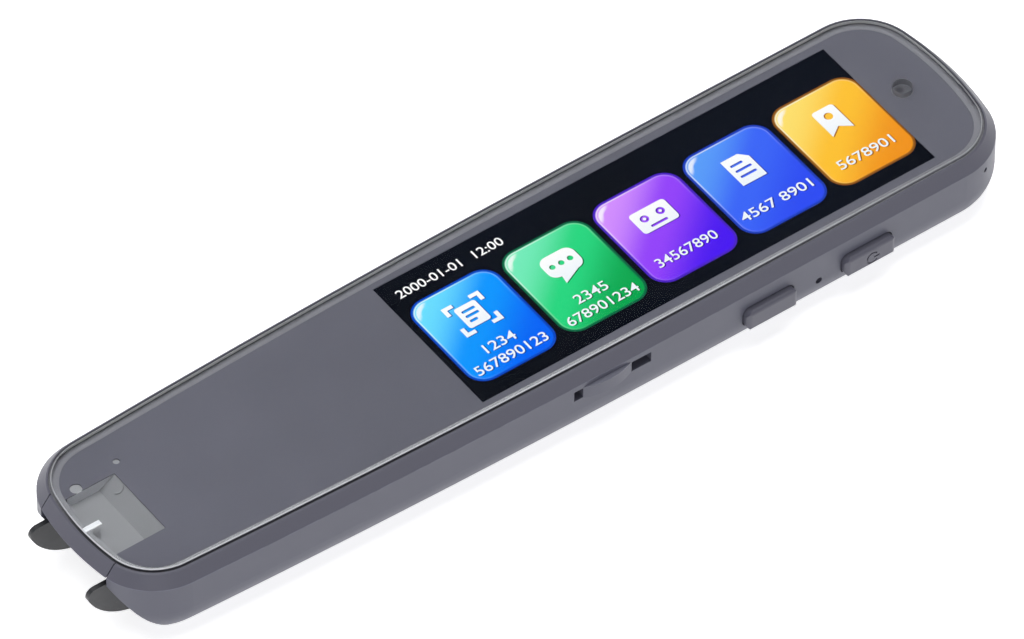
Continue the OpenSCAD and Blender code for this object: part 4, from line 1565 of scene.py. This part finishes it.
@dataclass
class Studio:
    """The pale floor, the soft lights, the sky and the camera."""

    azimuth: float = -36.084
    elevation: float = 47.659
    distance: float = 1366.17
    pan: Pair = (-0.829, -3.440)
    aim: Triple = (-0.25, 0.0, 12.0)
    lens: float = 378.70
    floor_half: float = 4.0
    floor_drop: float = 0.05
    floor_colour: Colour = (0.86, 0.86, 0.87, 1.0)
    floor_glow: float = 0.72
    low_sky: Colour = (0.8, 0.8, 0.81, 1.0)
    high_sky: Colour = (0.06, 0.06, 0.065, 1.0)
    top_sky: Colour = (0.05, 0.05, 0.055, 1.0)
    sky_turn: Pair = (0.62, 0.8)
    top_place: Triple = (0.0, 0.15, 1.15)
    top_size: Pair = (1.1, 0.9)
    top_power: float = 11.0
    near_place: Triple = (-0.75, -1.0, 0.75)
    near_size: Pair = (0.7, 0.7)
    near_share: float = 0.16

    def build(self) -> None:
        """Builds the stage, the lights and the camera."""
        self._floor()
        self._sky()
        self._lamp("top_softbox", self.top_place, self.top_size, self.top_power)
        near_power = self.top_power * self.near_share
        self._lamp("near_softbox", self.near_place, self.near_size, near_power)
        self._camera()
        bpy.context.scene.view_settings.view_transform = "Standard"

    def _floor(self) -> None:
        """Builds the floor: white to the eye, open from below."""
        half, level = self.floor_half, -self.floor_drop * MM
        mesh = bpy.data.meshes.new("floor")
        corners = [(-half, -half), (half, -half), (half, half), (-half, half)]
        mesh.from_pydata([(x, y, level) for x, y in corners], [], [(0, 1, 2, 3)])
        floor = new_piece("floor", mesh)
        g = Graph("floor_paint")
        rays = g.node("ShaderNodeLightPath").outputs
        seen = Channel(g, rays["Is Camera Ray"]).larger(Channel(g, rays["Is Glossy Ray"]))
        seen = seen.larger(Channel(g, rays["Is Transmission Ray"]))
        matt = g.out("ShaderNodeBsdfDiffuse", {"Color": self.floor_colour})
        light = {"Color": FULL_LIGHT, "Strength": seen * self.floor_glow}
        both = g.out("ShaderNodeAddShader", {0: matt, 1: g.out("ShaderNodeEmission", light)})
        under = g.node("ShaderNodeNewGeometry").outputs["Backfacing"]
        clear = g.out("ShaderNodeBsdfTransparent")
        mesh.materials.append(g.finish(g.blend(under, both, clear)))
        floor.visible_diffuse = False
        floor.visible_shadow = False

    def _sky(self) -> None:
        """Builds the surroundings: white to the eye, bright low down and dim overhead."""
        world = bpy.data.worlds.new("sky")
        bpy.context.scene.world = world
        world.use_nodes = True
        g = Tree(world.node_tree)
        place = g.node("ShaderNodeTexCoord").outputs["Generated"]
        height = Channel(g, g.node("ShaderNodeSeparateXYZ", {0: place}).outputs[2])
        turn = [(self.sky_turn[0], self.low_sky), (self.sky_turn[1], self.high_sky)]
        stops = [(0.0, self.low_sky), *turn, (1.0, self.top_sky)]
        ramp = g.out("ShaderNodeValToRGB", {0: height * 0.5 + 0.5}, stops=stops)
        seen = g.node("ShaderNodeLightPath").outputs["Is Camera Ray"]
        dim, white = (
            g.out("ShaderNodeBackground", {"Color": colour, "Strength": 1.0})
            for colour in (ramp, FULL_LIGHT)
        )
        g.node("ShaderNodeOutputWorld", {"Surface": g.blend(seen, dim, white)})

    @staticmethod
    def _lamp(name: str, place: Triple, size: Pair, power: float) -> None:
        """Adds one softbox that faces the object.

        Args:
            name: its name.
            place: where it stands, in metres.
            size: its two sides, in metres.
            power: its power in watts.
        """
        lamp = bpy.data.lights.new(name, "AREA")
        lamp.shape = "RECTANGLE"
        lamp.size, lamp.size_y = size
        lamp.energy = power
        holder = new_piece(name, lamp)
        holder.location = place
        holder.rotation_euler = (-Vector(place)).to_track_quat("-Z", "Y").to_euler()

    def _camera(self) -> None:
        """Adds the camera at its measured place."""
        a, e = math.radians(self.azimuth), math.radians(self.elevation)
        right = Vector((math.cos(a), math.sin(a), 0.0))
        back = Vector((math.sin(a) * math.cos(e), -math.cos(a) * math.cos(e), math.sin(e)))
        up = back.cross(right)
        spot = right * self.pan[0] + up * self.pan[1] + back * self.distance + Vector(self.aim)
        camera = new_piece("camera", bpy.data.cameras.new("camera"))
        camera.data.lens = self.lens
        turn = Matrix((right, up, back)).transposed().to_4x4()
        camera.matrix_world = Matrix.Translation(spot * MM) @ turn
        bpy.context.scene.camera = camera


def main() -> None:
    """Builds every sub-assembly in order."""
    logging.basicConfig(level=logging.INFO, format="%(name)s %(message)s")
    for part in (CadFinishes(), CoverPane(), ScreenPicture(), TipSprings(), PowerKey(), Studio()):
        LOG.info("building %s", type(part).__name__)
        part.build()


if __name__ == "__main__":
    main()
